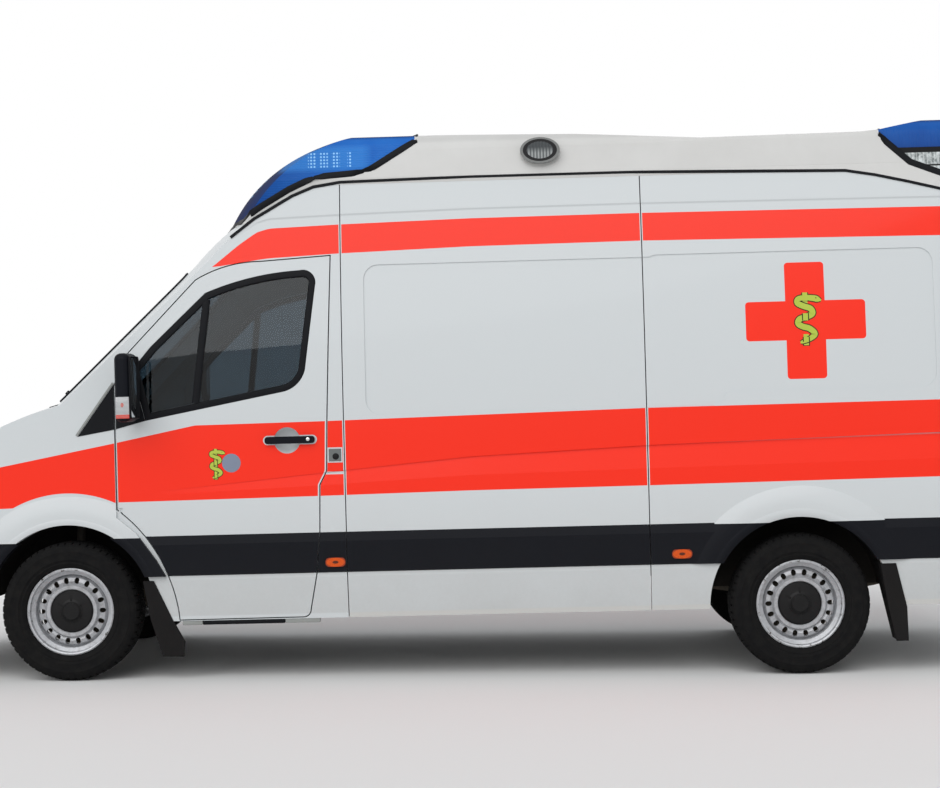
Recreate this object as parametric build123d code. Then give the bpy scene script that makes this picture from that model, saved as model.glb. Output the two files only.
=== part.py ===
from build123d import *
import os
from math import asin, cos, degrees, pi, radians, sin, sqrt

# High-roof van ambulance, in millimetres. X runs from the nose to the tail, Y to the van's right, Z up.
# The van is drawn straight and level, then settled nose-down about its front hubs, as it stands.

# Overall sizes
LENGTH = 5910.0
HALF_WIDTH = 985.0
WHEELBASE = 3665.0
FRONT_OVERHANG = 1004.0
RAKE_DEG = 0.7
HUB_Z = 350.0
NOSE_X = -LENGTH / 2
BUMPER_TAIL_X = LENGTH / 2
FRONT_AXLE_X = NOSE_X + FRONT_OVERHANG
REAR_AXLE_X = FRONT_AXLE_X + WHEELBASE * cos(radians(RAKE_DEG))
REAR_HUB_Z = HUB_Z - WHEELBASE * sin(radians(RAKE_DEG))

# Cross-section of the body side and roof
SILL_Z = 290.0
TUCK = 34.0
TUCK_Z = 500.0
SHOULDER_Z = 1230.0
SIDE_RADIUS = 6571.0
CORNER_Z = 2490.0
CORNER_RADIUS = 150.0
CORNER_TURN_DEG = 75.0

# Plan view and front silhouette
TAPER_X = -1250.0
PLAN_RADIUS = 13268.0
PLAN_REACH = 260.0
NOSE_SAG = 190.0
FRONT_AXIS_X = 900.0
TAIL_X = 2885.0
NOSE_FACE = [(-2925.0, 200.0), (-2955.0, 420.0), (-2945.0, 690.0)]
BONNET_NOSE = (-2870.0, 1000.0)
BONNET_MIDDLE = (-2541.0, 1228.0)
BONNET_BACK = (-2131.0, 1392.0)
SCREEN_TOP = (-1400.0, 2105.0)
ROOF_ARC_MIDDLE = (-1082.0, 2378.0)
ROOF_ARC_END = (-700.0, 2530.0)
ROOF_FRONT = (-480.0, 2700.0)

# Thicknesses and gaps
WALL = 48.0
POST = 90.0
DOOR_SKIN = 60.0
REBATE = 67.0
BONNET_SKIN = 28.0
SEAM = 5.0
DOOR_GAP = 6.0
REAR_DOOR_GAP = 9.0
SEAL_LAP = 30.0
GLASS = 6.0
GLASS_INSET = 12.0

# Joints between panels
B_SEAM_X = -543.0
MID_SEAM_X = 972.0
REAR_SEAM_X = 2690.0
ROOF_SEAM_Z = 2499.0
COWL_RADIUS = 3080.0
BONNET_COWL_GAP = 20.0
BONNET_HALF_BACK = HALF_WIDTH - 215.0
BONNET_HALF_FRONT = HALF_WIDTH - 345.0
BUMPER_TOP_Z = 700.0

# Rub strip
STRIP_LOW_Z = 520.0
STRIP_HIGH_Z = 722.0
STRIP_BEVEL = 45.0
STRIP_PROUD = 10.0

# Hinges: front doors and bonnet turn on pins in their seams, rear doors on outside straps
PIN_RADIUS = 5.0
PIN_CLEARANCE = 0.3
DOOR_PIN_X = -1683.0
DOOR_PIN_LOW = (HALF_WIDTH - 15.5, 838.0)
DOOR_PIN_HIGH = (HALF_WIDTH - 21.1, 1526.0)
DOOR_PIN_LENGTH = 38.0
BONNET_PIN = (-2108.0, 1356.0)
BONNET_PIN_LENGTH = 24.0
REAR_HINGE_X = TAIL_X + 12.0
REAR_HINGE_Y = HALF_WIDTH - 143.0
REAR_HINGE_RADIUS = 9.0
REAR_HINGE_HEIGHT = 40.0
REAR_HINGE_Z = (760.0, 1440.0, 2120.0)

# Wheel arches
FRONT_ARCH_RADIUS = 438.0
REAR_ARCH_RADIUS = 449.0
FLARE_REACH = 150.0
FLARE_PROUD = 18.0
FLARE_FOOT_Z = 716.0
FRONT_FLARE_YAW_DEG = 3.03
FRONT_FLARE_INSET = 18.5
LINER = 6.0

# Wheels
TYRE_RADIUS = 350.0
TYRE_WIDTH = 235.0
TRACK_HALF = HALF_WIDTH - 130.0
KINGPIN_Y = TRACK_HALF - 135.0
HUB_FACE = TRACK_HALF + 29.0
HOLE_COUNT = 18
HOLE_CIRCLE = 154.0
HUB_CAP_RADIUS = 108.0

FAR = 3200.0
TOP = 2900.0


def outline(*points):
    """A closed straight-sided sketch through points in X and Z."""
    return make_face(Polyline(*points, close=True))


def xz_prism(face, y_from, y_to):
    """A sketch drawn in X and Z, run from one Y to another."""
    low, high = min(y_from, y_to), max(y_from, y_to)
    return extrude(Plane.XZ.offset(-high) * face, amount=high - low)


def yz_prism(face, x_from, x_to):
    """A sketch drawn in Y and Z, run from one X to another."""
    return extrude(Plane.YZ.offset(x_from) * face, amount=x_to - x_from)


def box_between(x, y, z):
    """A box from its ranges along X, Y and Z."""
    size = [x[1] - x[0], y[1] - y[0], z[1] - z[0]]
    middle = [(x[0] + x[1]) / 2, (y[0] + y[1]) / 2, (z[0] + z[1]) / 2]
    return Pos(*middle) * Box(*size)


def mirrored(shape):
    return mirror(shape, about=Plane.XZ)


def both_sides(shape):
    return shape + mirrored(shape)


def on_side(face, side, y_from=300.0, y_to=1300.0):
    """An outline in X and Z run through one side of the body: side -1 is the left, 1 the right."""
    return xz_prism(face, side * y_from, side * y_to)


def rod(start, end, radius):
    """A round bar between two points."""
    line = Line(start, end)
    return extrude(Plane(line @ 0, z_dir=line % 0) * Circle(radius), amount=line.length)


# The envelope: the body's outer form, or the same form with every face moved inwards


def half_section(inset):
    """Right half of the body's cross-section, drawn in Y and Z."""
    side_turn = asin((CORNER_Z - SHOULDER_Z) / SIDE_RADIUS)
    corner_end = side_turn + radians(CORNER_TURN_DEG)
    corner_y = HALF_WIDTH - SIDE_RADIUS * (1 - cos(side_turn))
    crown_y = corner_y - CORNER_RADIUS * (cos(side_turn) - cos(corner_end))
    crown_turn = pi / 2 - corner_end
    crown_radius = crown_y / sin(crown_turn)
    wall = HALF_WIDTH - inset
    sill = Line((0, SILL_Z), (wall - TUCK, SILL_Z))
    tuck = Line(sill @ 1, (wall, TUCK_Z))
    flat = Line(tuck @ 1, (wall, SHOULDER_Z))
    lean = JernArc(flat @ 1, (0, 1), SIDE_RADIUS - inset, degrees(side_turn))
    corner = JernArc(lean @ 1, lean % 1, CORNER_RADIUS - inset, CORNER_TURN_DEG)
    crown = JernArc(corner @ 1, corner % 1, crown_radius - inset, degrees(crown_turn))
    middle = Line(crown @ 1, (0, SILL_Z))
    return make_face([sill, tuck, flat, lean, corner, crown, middle])


def along_body(section):
    """A right-hand section run along both sides, straight and then round the taper to the nose."""
    straight = yz_prism(section, TAPER_X, TAIL_X + FAR / 20)
    swing = degrees(asin((TAPER_X - NOSE_X + PLAN_REACH) / PLAN_RADIUS))
    axis = Axis((TAPER_X, HALF_WIDTH - PLAN_RADIUS, 0), (0, 0, 1))
    tapered = revolve(Plane.YZ.offset(TAPER_X) * section, axis, swing)
    right = (straight + tapered) & box_between((-FAR, FAR), (0, FAR), (0, TOP))
    return right + mirrored(right)


def plan_form(inset):
    """The body's outline from above, with its rounded nose and tail corners."""
    wall = HALF_WIDTH + 40 - inset
    nose_x = NOSE_X + inset
    tail_x = TAIL_X - inset
    corner_x = nose_x + NOSE_SAG
    nose = ThreePointArc((corner_x, wall), (nose_x, 0), (corner_x, -wall))
    sides = Polyline((corner_x, wall), (tail_x, wall), (tail_x, -wall), (corner_x, -wall))
    face = make_face([nose, sides])
    return extrude(face, amount=TOP)


def front_outside(inset, points):
    """What lies in front of and above a silhouette, turned about an upright axis to round the plan."""
    nose, middle, back, screen, arc_middle, arc_end, end = points
    bonnet = ThreePointArc(nose, middle, back)
    line = Line(back, screen)
    arc = ThreePointArc(screen, arc_middle, arc_end)
    rise = Line(arc_end, end)
    rest = Polyline(end, (end[0], TOP + 200), (-FAR - 800, TOP + 200), (-FAR - 800, 200),
                    *NOSE_FACE, nose)
    face = make_face([bonnet, line, arc, rise, rest])
    if inset:
        face = offset(face, amount=inset, kind=Kind.INTERSECTION)
    upright = Axis((FRONT_AXIS_X, 0, 0), (0, 0, 1))
    return revolve(Plane.XZ * face, upright, 180).rotate(upright, -90)


FRONT_POINTS = [BONNET_NOSE, BONNET_MIDDLE, BONNET_BACK, SCREEN_TOP, ROOF_ARC_MIDDLE, ROOF_ARC_END,
                ROOF_FRONT]


def envelope(inset):
    form = along_body(half_section(inset)) & plan_form(inset)
    return form - front_outside(inset, FRONT_POINTS)


OUTER = envelope(0)
PARTS = {}
PARTS_STRAIGHT = {}


def settle(shape):
    """Tips the straight drawing nose-down about the front hubs."""
    hub = Pos(FRONT_AXLE_X, 0, HUB_Z)
    return Part() + hub * Rot(0, -RAKE_DEG, 0) * Pos(-FRONT_AXLE_X, 0, -HUB_Z) * shape


def keep(name, shape):
    PARTS_STRAIGHT[name] = shape
    PARTS[name] = settle(shape)


# Outlines on the side of the body, in X and Z


def door_outline(grow=0.0):
    """The front door: it curves round the wheel arch below and follows the screen pillar above."""
    arch = ThreePointArc((-1394, 298), (-1497, 640), (-1695, 862))
    front = Line((-1695, 862), (-1695, 1480))
    pillar = Polyline((-1695, 1480), (-1619, 1645), (-1274, 2003))
    brow = ThreePointArc((-1274, 2003), (-1130, 2064), (-949, 2087))
    back = Polyline((-949, 2087), (-597, 2107), (-630, 1260), (-637, 1030), (-673, 960), (-679, 724),
                    (-698, 520), (-736, 336))
    heel = ThreePointArc((-736, 336), (-747, 310), (-775, 300))
    foot = Line((-775, 300), (-1394, 298))
    face = make_face([arch, front, pillar, brow, back, heel, foot])
    return offset(face, amount=grow, kind=Kind.INTERSECTION) if grow else face


def window_outline(grow=0.0):
    """The front door's window: a long pane with a small fixed one ahead of its division bar."""
    low = Line((-1541, 1302), (-848, 1429))
    rise = ThreePointArc((-848, 1429), (-762, 1477), (-730, 1540))
    back = Line((-730, 1540), (-672, 1960))
    corner = ThreePointArc((-672, 1960), (-688, 2022), (-750, 2040))
    brow = ThreePointArc((-750, 2040), (-1020, 2004), (-1228, 1938))
    front = Polyline((-1228, 1938), (-1509, 1673), (-1605, 1560), (-1541, 1302))
    face = make_face([low, rise, back, corner, brow, front])
    return offset(face, amount=grow, kind=Kind.INTERSECTION) if grow else face


def disc(centre, radius):
    """A round outline about a hub."""
    return Pos(*centre) * Circle(radius)


FRONT_HUB = (FRONT_AXLE_X, HUB_Z)
REAR_HUB = (REAR_AXLE_X, REAR_HUB_Z)


def arches():
    """What the wheels take out of the body, through both sides."""
    front = both_sides(on_side(disc(FRONT_HUB, FRONT_ARCH_RADIUS), -1))
    return front + both_sides(on_side(disc(REAR_HUB, REAR_ARCH_RADIUS), -1))


def flare(hub, radius, yaw_deg, inset):
    """The raised lip round a wheel arch, blending into the side away from the opening."""
    inner = radius - 12
    lip = Polyline((inner, -WALL), (inner, 12))
    nose = ThreePointArc((inner, 12), (radius + 2, FLARE_PROUD), (radius + 30, FLARE_PROUD))
    slope = ThreePointArc(nose @ 1, (radius + 0.72 * FLARE_REACH, 11), (radius + FLARE_REACH, -3))
    back = Polyline(slope @ 1, (radius + FLARE_REACH, -WALL), (inner, -WALL))
    profile = make_face([lip, nose, slope, back])
    ring = revolve(Plane.XY * profile, Axis.Y, 360)
    upper = ring & box_between((-FAR, FAR), (-200, 200), (STRIP_LOW_Z - hub[1], FAR))
    placed = Pos(hub[0], HALF_WIDTH - inset, hub[1]) * Rot(0, 0, yaw_deg) * upper
    return both_sides(placed)


# The groove that runs back along the side and deepens from the door to the tail
GROOVE_STATIONS = [
    # X, top Z, bottom Z, depth
    (-1465, 947, 930, 0.5),
    (-642, 1021, 958, 6.0),
    (83, 1082, 990, 10.0),
    (983, 1117, 1001, 12.0),
    (2720, 1150, 1018, 13.0),
]


def body_y(z):
    """Half width of the straight part of the body at a height."""
    lean = max(z - SHOULDER_Z, 0)
    return HALF_WIDTH - SIDE_RADIUS + sqrt(SIDE_RADIUS ** 2 - lean ** 2)


def crease(stations):
    """A long notch in both sides, lofted through its stations: square above, running out below."""
    sections = []
    for x, top, bottom, depth in stations:
        taper = PLAN_RADIUS - sqrt(PLAN_RADIUS ** 2 - min(x - TAPER_X, 0) ** 2)
        high, low = body_y(top) - taper, body_y(bottom) - taper
        corners = Polyline((high + 30, top), (high - depth, top), (low, bottom), (high + 30, bottom),
                           close=True)
        sections.append(Plane.YZ.offset(x) * make_face(corners))
    return both_sides(loft(sections, ruled=True))


def dent(panel, face, depth):
    """Presses an outline into a panel by a depth."""
    skin = OUTER - envelope(depth)
    return panel - both_sides(skin & on_side(face, -1))


def strip_section():
    """The rub strip's section: flat face, bevelled top."""
    foot = HALF_WIDTH
    face = HALF_WIDTH + STRIP_PROUD
    return make_face(Polyline((foot, STRIP_LOW_Z), (face, STRIP_LOW_Z + 6),
                              (face, STRIP_HIGH_Z - STRIP_BEVEL), (foot, STRIP_HIGH_Z), close=True))


STRIP = along_body(strip_section())


def span(x_from, x_to, z_from=0.0, z_to=TOP):
    """A block right across the body over a range of X and Z."""
    return box_between((x_from, x_to), (-FAR, FAR), (z_from, z_to))


# Body shell


def shell(thickness):
    return OUTER - envelope(thickness)


def disc_block(hub, radius):
    """A round block through both sides of the body about a hub."""
    return both_sides(on_side(disc(hub, radius), -1))


REAR_FLARE = flare(REAR_HUB, REAR_ARCH_RADIUS, 0, 0)
FRONT_FIELD = (1800.0, 755.0)
REAR_FIELD = (1440.0, 695.0)
FIELD_RADIUS = 75.0
FIELD_DEPTH = 5.0


def side_panels():
    """The tall side panels behind the doors, each as thick as the lined wall, split at their seam."""
    wall = shell(WALL) & span(B_SEAM_X + SEAM / 2, REAR_SEAM_X - SEAM / 2, 0, ROOF_SEAM_Z)
    wall -= box_between((-FAR, FAR), (-HALF_WIDTH + 220, HALF_WIDTH - 220), (0, TOP))
    wall -= arches()
    wall -= crease(GROOVE_STATIONS)
    front_field = RectangleRounded(*FRONT_FIELD, FIELD_RADIUS)
    wall = dent(wall, Pos(471, 1679.5) * front_field, FIELD_DEPTH)
    rear_field = RectangleRounded(*REAR_FIELD, FIELD_RADIUS)
    wall = dent(wall, Pos(MID_SEAM_X + 720, 1719.5) * rear_field, FIELD_DEPTH)
    wall += REAR_FLARE & span(B_SEAM_X, REAR_SEAM_X, FLARE_FOOT_Z, TOP)
    return wall - span(MID_SEAM_X - SEAM / 2, MID_SEAM_X + SEAM / 2)


panels = side_panels()
left = [solid for solid in panels.solids() if solid.center().Y < 0]
right = [solid for solid in panels.solids() if solid.center().Y > 0]


def front_and_rear(solids):
    """Sorts a side's panels from front to rear."""
    ordered = sorted(solids, key=lambda solid: solid.center().X)
    return Part() + ordered[0], Part() + ordered[-1]


left_front, left_rear = front_and_rear(left)
right_front, right_rear = front_and_rear(right)
keep("left_side_panel", left_front)
keep("left_rear_panel", left_rear)
keep("right_rear_panel", right_rear)

# The sliding door stands shut on the right, with one window
sliding_window = Pos(200, 1690) * RectangleRounded(860, 560, 70)
window_block = on_side(sliding_window, 1)
keep("right_sliding_door", right_front - window_block)
pane = envelope(GLASS_INSET) - envelope(GLASS_INSET + GLASS)
keep("sliding_door_glass", pane & window_block)

roof = shell(WALL) & span(B_SEAM_X + SEAM / 2, REAR_SEAM_X - SEAM / 2, ROOF_SEAM_Z, TOP)
keep("roof_panel", roof)

# Hinge pins


def door_pin_axis(side):
    """Where a front door's hinge line starts and ends: it leans in with the body side."""
    low = Vector(DOOR_PIN_X, side * DOOR_PIN_LOW[0], DOOR_PIN_LOW[1])
    high = Vector(DOOR_PIN_X, side * DOOR_PIN_HIGH[0], DOOR_PIN_HIGH[1])
    return low, high


def door_pins(side, clearance=0.0):
    """The two pins of a front door, one at each end of its hinge line, or the holes they turn in."""
    low, high = door_pin_axis(side)
    along = (high - low).normalized()
    step = along * DOOR_PIN_LENGTH
    radius = PIN_RADIUS + clearance
    return rod(low - along * clearance, low + step, radius) + rod(high + along * clearance, high - step, radius)


def bonnet_pins(clearance=0.0):
    """The bonnet's two hinge pins, one out of each rear corner, or the holes they turn in."""
    x, z = BONNET_PIN
    start, end = BONNET_HALF_BACK - 12, BONNET_HALF_BACK + BONNET_PIN_LENGTH + clearance
    return both_sides(rod((x, start, z), (x, end, z), PIN_RADIUS + clearance))


# Cab
wing_zone = outline((-FAR, 0), (-1392, 0), (-1392, 300), (-1420, 460), (-1500, 600), (-1600, 740),
                    (-1697.5, 820), (-1697.5, 1238), (-1887, 1230), (-2000, 1400), (-FAR, 1400))
wing_block = both_sides(xz_prism(wing_zone, BONNET_HALF_BACK + 2, 1300))
behind_cowl = Pos(FRONT_AXIS_X, 0, TOP / 2) * Cylinder(COWL_RADIUS, TOP)
door_opening = both_sides(on_side(door_outline(DOOR_GAP), -1))
door_inner = both_sides(on_side(door_outline(-SEAL_LAP), -1))
SCREEN_HALF = HALF_WIDTH - 195.0
screen_face = outline((-SCREEN_HALF, 1400), (SCREEN_HALF, 1400), (SCREEN_HALF - 90, 2010),
                      (SCREEN_HALF - 150, 2050), (150 - SCREEN_HALF, 2050), (90 - SCREEN_HALF, 2010))
screen_block = yz_prism(fillet(screen_face.vertices(), 40), -2300, -1300)

# The seam that crosses the post behind each front door, level with the door's shoulder
POST_SEAM_Z = 1017.0
POST_SEAM_DEPTH = 6.0


def cab_frame():
    """Pillars, header, cowl and sills round the two doors, with a rebate for each door's seal."""
    frame = shell(POST) & span(-2700, B_SEAM_X - SEAM / 2)
    frame &= behind_cowl
    frame -= wing_block
    frame -= door_opening - envelope(REBATE)
    frame -= door_inner
    frame -= screen_block
    frame -= arches()
    frame -= crease(GROOVE_STATIONS)
    seam = box_between((-660, B_SEAM_X), (HALF_WIDTH - POST_SEAM_DEPTH, HALF_WIDTH + 5),
                       (POST_SEAM_Z - SEAM / 2, POST_SEAM_Z + SEAM / 2))
    frame -= both_sides(seam)
    for side in (-1, 1):
        frame -= door_pins(side, PIN_CLEARANCE)
    return frame


keep("cab_frame", cab_frame())
keep("windscreen", pane & screen_block)

# Bonnet, wings, grille, lamps and bumper
BONNET_LOW_Z = 992.0


def bonnet_block(grow):
    """The bonnet's outline from above, from its front edge to the cowl, above the grille."""
    back, front = BONNET_HALF_BACK + grow, BONNET_HALF_FRONT + grow
    plan = outline((-1900, -back), (-1900, back), (-2100, back), (-2700, front), (-FAR, front - 80),
                   (-FAR, 80 - front), (-2700, -front), (-2100, -back))
    return extrude(plan, amount=TOP) & span(-FAR, 0, BONNET_LOW_Z - grow, TOP)


before_cowl = Pos(FRONT_AXIS_X, 0, TOP / 2) * Cylinder(COWL_RADIUS + BONNET_COWL_GAP, TOP)
bonnet_gap = bonnet_block(SEAM)
bonnet = (shell(BONNET_SKIN) & bonnet_block(0)) - before_cowl
keep("bonnet", bonnet + bonnet_pins())

GRILLE_HALF = HALF_WIDTH - 445.0
LAMP_FACE = outline((GRILLE_HALF + 8, 745), (GRILLE_HALF + 30, 985), (GRILLE_HALF + 160, 1060),
                    (GRILLE_HALF + 320, 1120), (GRILLE_HALF + 355, 1000), (GRILLE_HALF + 340, 800),
                    (GRILLE_HALF + 260, 745))
lamp_block = both_sides(yz_prism(fillet(LAMP_FACE.vertices(), 25), -FAR, -2560))
grille_block = box_between((-FAR, -2600), (-GRILLE_HALF, GRILLE_HALF), (BUMPER_TOP_Z, BONNET_LOW_Z - SEAM))
bumper_zone = span(-FAR, FRONT_AXLE_X, 0, BUMPER_TOP_Z)
front_flare = flare(FRONT_HUB, FRONT_ARCH_RADIUS, FRONT_FLARE_YAW_DEG, FRONT_FLARE_INSET)
wing_side = both_sides(xz_prism(wing_zone, GRILLE_HALF + 0.4, 1300))
behind_wheel = span(FRONT_AXLE_X, 0)


def wings():
    """The two front wings with the arch flares, cut round bonnet, grille, lamps and doors."""
    wing = shell(WALL) & wing_side
    wing += front_flare & wing_side & (span(-FAR, FRONT_AXLE_X) + span(FRONT_AXLE_X, 0, FLARE_FOOT_Z))
    for cut in (bumper_zone, bonnet_gap, lamp_block, arches(), door_opening, crease(GROOVE_STATIONS),
                bonnet_pins(PIN_CLEARANCE), door_pins(-1, PIN_CLEARANCE), door_pins(1, PIN_CLEARANCE)):
        wing -= cut
    return wing


keep("front_wings", wings())


def rub_strips():
    """The black strip along both sides of the body, up to the arches and down round their feet."""
    stretches = span(B_SEAM_X + SEAM / 2, REAR_SEAM_X - SEAM / 2)
    stretches -= span(MID_SEAM_X - SEAM / 2, MID_SEAM_X + SEAM / 2)
    rear_foot = REAR_FLARE & stretches & span(-FAR, FAR, 0, FLARE_FOOT_Z)
    strips = (STRIP & stretches) - disc_block(REAR_HUB, REAR_ARCH_RADIUS - 12) + (rear_foot - panels)
    strips -= REAR_FLARE & span(-FAR, FAR, FLARE_FOOT_Z, TOP)
    strips += (STRIP & span(-720, B_SEAM_X - SEAM / 2)) - door_opening
    behind = wing_side & behind_wheel
    front_foot = front_flare & behind & span(-FAR, FAR, 0, FLARE_FOOT_Z)
    fronts = (STRIP & behind) - disc_block(FRONT_HUB, FRONT_ARCH_RADIUS - 12) + (front_foot - OUTER)
    fronts -= front_flare & span(-FAR, FAR, FLARE_FOOT_Z, TOP)
    return strips + (fronts - door_opening)


keep("rub_strips", rub_strips())

SLOT_HEIGHT = 34.0
grille = shell(WALL) & grille_block
for z in (745, 800, 855, 910):
    grille -= box_between((-FAR, -2700), (40 - GRILLE_HALF, GRILLE_HALF - 40), (z, z + SLOT_HEIGHT))
keep("grille", grille)

lamp = ((envelope(4) - envelope(70)) & lamp_block) - bonnet_gap
keep("headlights", lamp)

INTAKE_HALF = 430.0
INTAKE_Z = (400.0, 510.0)
bumper = shell(WALL) & span(-FAR, FRONT_AXLE_X, 0, BUMPER_TOP_Z - SEAM)
bumper -= arches()
bumper -= box_between((-FAR, -2700), (-INTAKE_HALF, INTAKE_HALF), INTAKE_Z)
bumper += front_flare & span(-FAR, FRONT_AXLE_X, STRIP_LOW_Z, BUMPER_TOP_Z - SEAM)
keep("front_bumper", bumper)

# Cap on the roof: light bar lens in front, white fairing along both sides, rear light pod
CAP_SIDE = 6.0
CAP_CLEARANCE = 0.5
CAP_LINE = (HALF_WIDTH - 139.0, 2640.0)
CAP_RADIUS = 95.0
CAP_TURN_DEG = 78.0
CHANNEL_HALF = HALF_WIDTH - 295.0
LENS_TIP_X = -160.0
POD_TIP_X = 2180.0


def cap_section():
    """Right half of the cap's section: it carries on the side's lean, rounds over and crowns."""
    foot = (body_y(ROOF_SEAM_Z) + CAP_SIDE, ROOF_SEAM_Z + 2)
    side = Line(foot, CAP_LINE)
    corner = JernArc(side @ 1, side % 1, CAP_RADIUS, CAP_TURN_DEG)
    end = corner @ 1
    rise = 90 - degrees(asin((corner % 1).Y))
    fall = asin((corner % 1).Y)
    crown = JernArc(end, corner % 1, end.X / sin(fall), degrees(fall))
    rest = Polyline(crown @ 1, (0, 2200), (foot[0], 2200), foot)
    return make_face([side, corner, crown, rest])


# The fairing's lower edge behind the mid seam: it drops away towards the tail as a thin skirt
SKIRT_EDGE = [(900, 2501), (2004, 2474), (2150, 2448), (2310, 2410), (2471, 2368), (2600, 2338), (2700, 2325)]


def skirt():
    """The thin skirt that the fairing hangs outside the rear side panels."""
    tail = TAIL_X - 2
    zone = outline(*SKIRT_EDGE, (tail, SKIRT_EDGE[-1][1]), (tail, ROOF_SEAM_Z + 11), (900, ROOF_SEAM_Z + 11))
    return (envelope(-CAP_SIDE) - envelope(-CAP_CLEARANCE)) & both_sides(on_side(zone, -1))


def cap_form():
    """The whole cap, outside the body: nose turned about an upright axis, channel between its sides."""
    right = yz_prism(cap_section(), -1400, TAIL_X + 40)
    form = right + mirrored(right)
    nose = ThreePointArc((-1195, 2320), (-986, 2577), (-579, 2734))
    top = Polyline((-579, 2734), (LENS_TIP_X, 2750), (LENS_TIP_X, 3100), (-FAR, 3100), (-FAR, 2200),
                   (-1262, 2200), (-1195, 2320))
    upright = Axis((FRONT_AXIS_X, 0, 0), (0, 0, 1))
    form -= revolve(Plane.XZ * make_face([nose, top]), upright, 180).rotate(upright, -90)
    low = outline((LENS_TIP_X, 2722), (655, 2699), (1285, 2658), (2089, 2664), (POD_TIP_X, 2672),
                  (2460, 2730), (2700, 2735), (2840, 2690), (TAIL_X + 25, 2560), (TAIL_X + 25, 2396),
                  (LENS_TIP_X - 40, 2396))
    form &= xz_prism(low, -1300, 1300) + span(-FAR, LENS_TIP_X, 2200, TOP)
    form -= envelope(-CAP_CLEARANCE)
    channel = box_between((LENS_TIP_X + 60, 2160), (-CHANNEL_HALF, CHANNEL_HALF), (2000, TOP))
    return form - channel + skirt()


cap = cap_form()
gasket = outline((-FAR, 2290), (-1130, 2290), (-1049, 2305), (-942, 2374), (-800, 2455), (-668, 2514),
                 (-426, 2530), (-388, 2544), (LENS_TIP_X, 2684), (LENS_TIP_X, TOP), (-FAR, TOP))
lens_block = xz_prism(gasket, -1300, 1300)
rear_gasket = outline((POD_TIP_X, 2640), (2330, 2500), (2480, 2440), (FAR, 2430), (FAR, TOP),
                      (POD_TIP_X, TOP))
pod_block = xz_prism(rear_gasket, -1300, 1300)
keep("front_light_lens", cap & lens_block)
keep("rear_light_lens", cap & pod_block)
keep("roof_fairing", cap - lens_block - pod_block)


# Front doors
HANDLE_X, HANDLE_Z = -829.0, 1186.0
HANDLE_LENGTH = 250.0
HANDLE_DISH_RADIUS = 70.0
DOOR_FRONT_X = -1695.0
NOTCH = 6.5


def front_door(side):
    """A cab door: a pressed shell with its window cut and its front corners eased round the hinge."""
    block = on_side(door_outline(), side)
    door = shell(DOOR_SKIN) & block
    door -= on_side(window_outline(), side)
    door -= crease(GROOVE_STATIONS)
    door -= Pos(HANDLE_X, side * (HALF_WIDTH + 22), HANDLE_Z) * Sphere(HANDLE_DISH_RADIUS)
    door -= Pos(DOOR_FRONT_X, side * (HALF_WIDTH - 7.5), 1100) * Rot(0, 0, 45) * Box(11, 11, 1200)
    for pin_y, low, high in ((DOOR_PIN_HIGH[0], 1484, 1532), (DOOR_PIN_LOW[0], 835, 868)):
        skin = sorted((side * (pin_y + NOTCH - PIN_RADIUS), side * (HALF_WIDTH + 5)))
        door -= box_between((DOOR_FRONT_X - 5, DOOR_FRONT_X + 29), skin, (low, high))
    return door + door_pins(side)


def door_handle(side):
    """A pull handle on two feet over its round dish."""
    y = side * (HALF_WIDTH + 14)
    grip = Pos(HANDLE_X + 15, y, HANDLE_Z + 2) * Box(HANDLE_LENGTH, 16, 36)
    grip = fillet(grip.edges().filter_by(Axis.Y), 14)
    for place in (-100, 100):
        foot = Pos(HANDLE_X + 15 + place, side * HALF_WIDTH, HANDLE_Z + 2) * Box(40, 20, 26)
        grip += foot - OUTER
    return grip


MIRROR_LOW, MIRROR_HIGH = 1300.0, 1640.0
MIRROR_Y = (HALF_WIDTH + 45.0, HALF_WIDTH + 230.0)
MIRROR_X = -1604.0
MIRROR_THICK = 78.0


def mirror_head(side):
    """The mirror's housing and the arm that holds it on the door's front corner."""
    head = Box(MIRROR_THICK, MIRROR_Y[1] - MIRROR_Y[0], MIRROR_HIGH - MIRROR_LOW)
    head = fillet(head.edges(), 32)
    middle = (MIRROR_Y[0] + MIRROR_Y[1]) / 2
    head = Pos(MIRROR_X, side * middle, (MIRROR_LOW + MIRROR_HIGH) / 2) * Rot(0, 0, side * 4) * head
    root, tip = (MIRROR_X - 32, side * (HALF_WIDTH - 25), 1402), (MIRROR_X, side * (MIRROR_Y[0] + 30), 1385)
    arm = rod(root, tip, 24)
    return head + (arm - OUTER)


for side, name in ((-1, "left"), (1, "right")):
    keep(name + "_front_door", front_door(side))
    keep(name + "_door_glass", pane & on_side(window_outline(), side))
    strip = STRIP & on_side(door_outline(), side)
    keep(name + "_mirror", mirror_head(side) + door_handle(side) + strip)

# Rear end: frame, two doors, lamps, bumper
REAR_DOOR_HALF = HALF_WIDTH - 153.0
REAR_DOOR_Z = (548.0, 2385.0)
REAR_DOOR_SKIN = 45.0
TAIL_LAMP_Z = (760.0, 1110.0)
TAIL_LAMP_Y = HALF_WIDTH - 136.0


def rear_opening(grow):
    """The rear doorway's rounded outline, in Y and Z."""
    low, high = REAR_DOOR_Z
    face = RectangleRounded(2 * (REAR_DOOR_HALF + grow), high - low + 2 * grow, 60)
    return Pos(0, (low + high) / 2) * face


def tail_lamp_block():
    return both_sides(box_between((2780, 3000), (TAIL_LAMP_Y, HALF_WIDTH + 15), TAIL_LAMP_Z))


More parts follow.
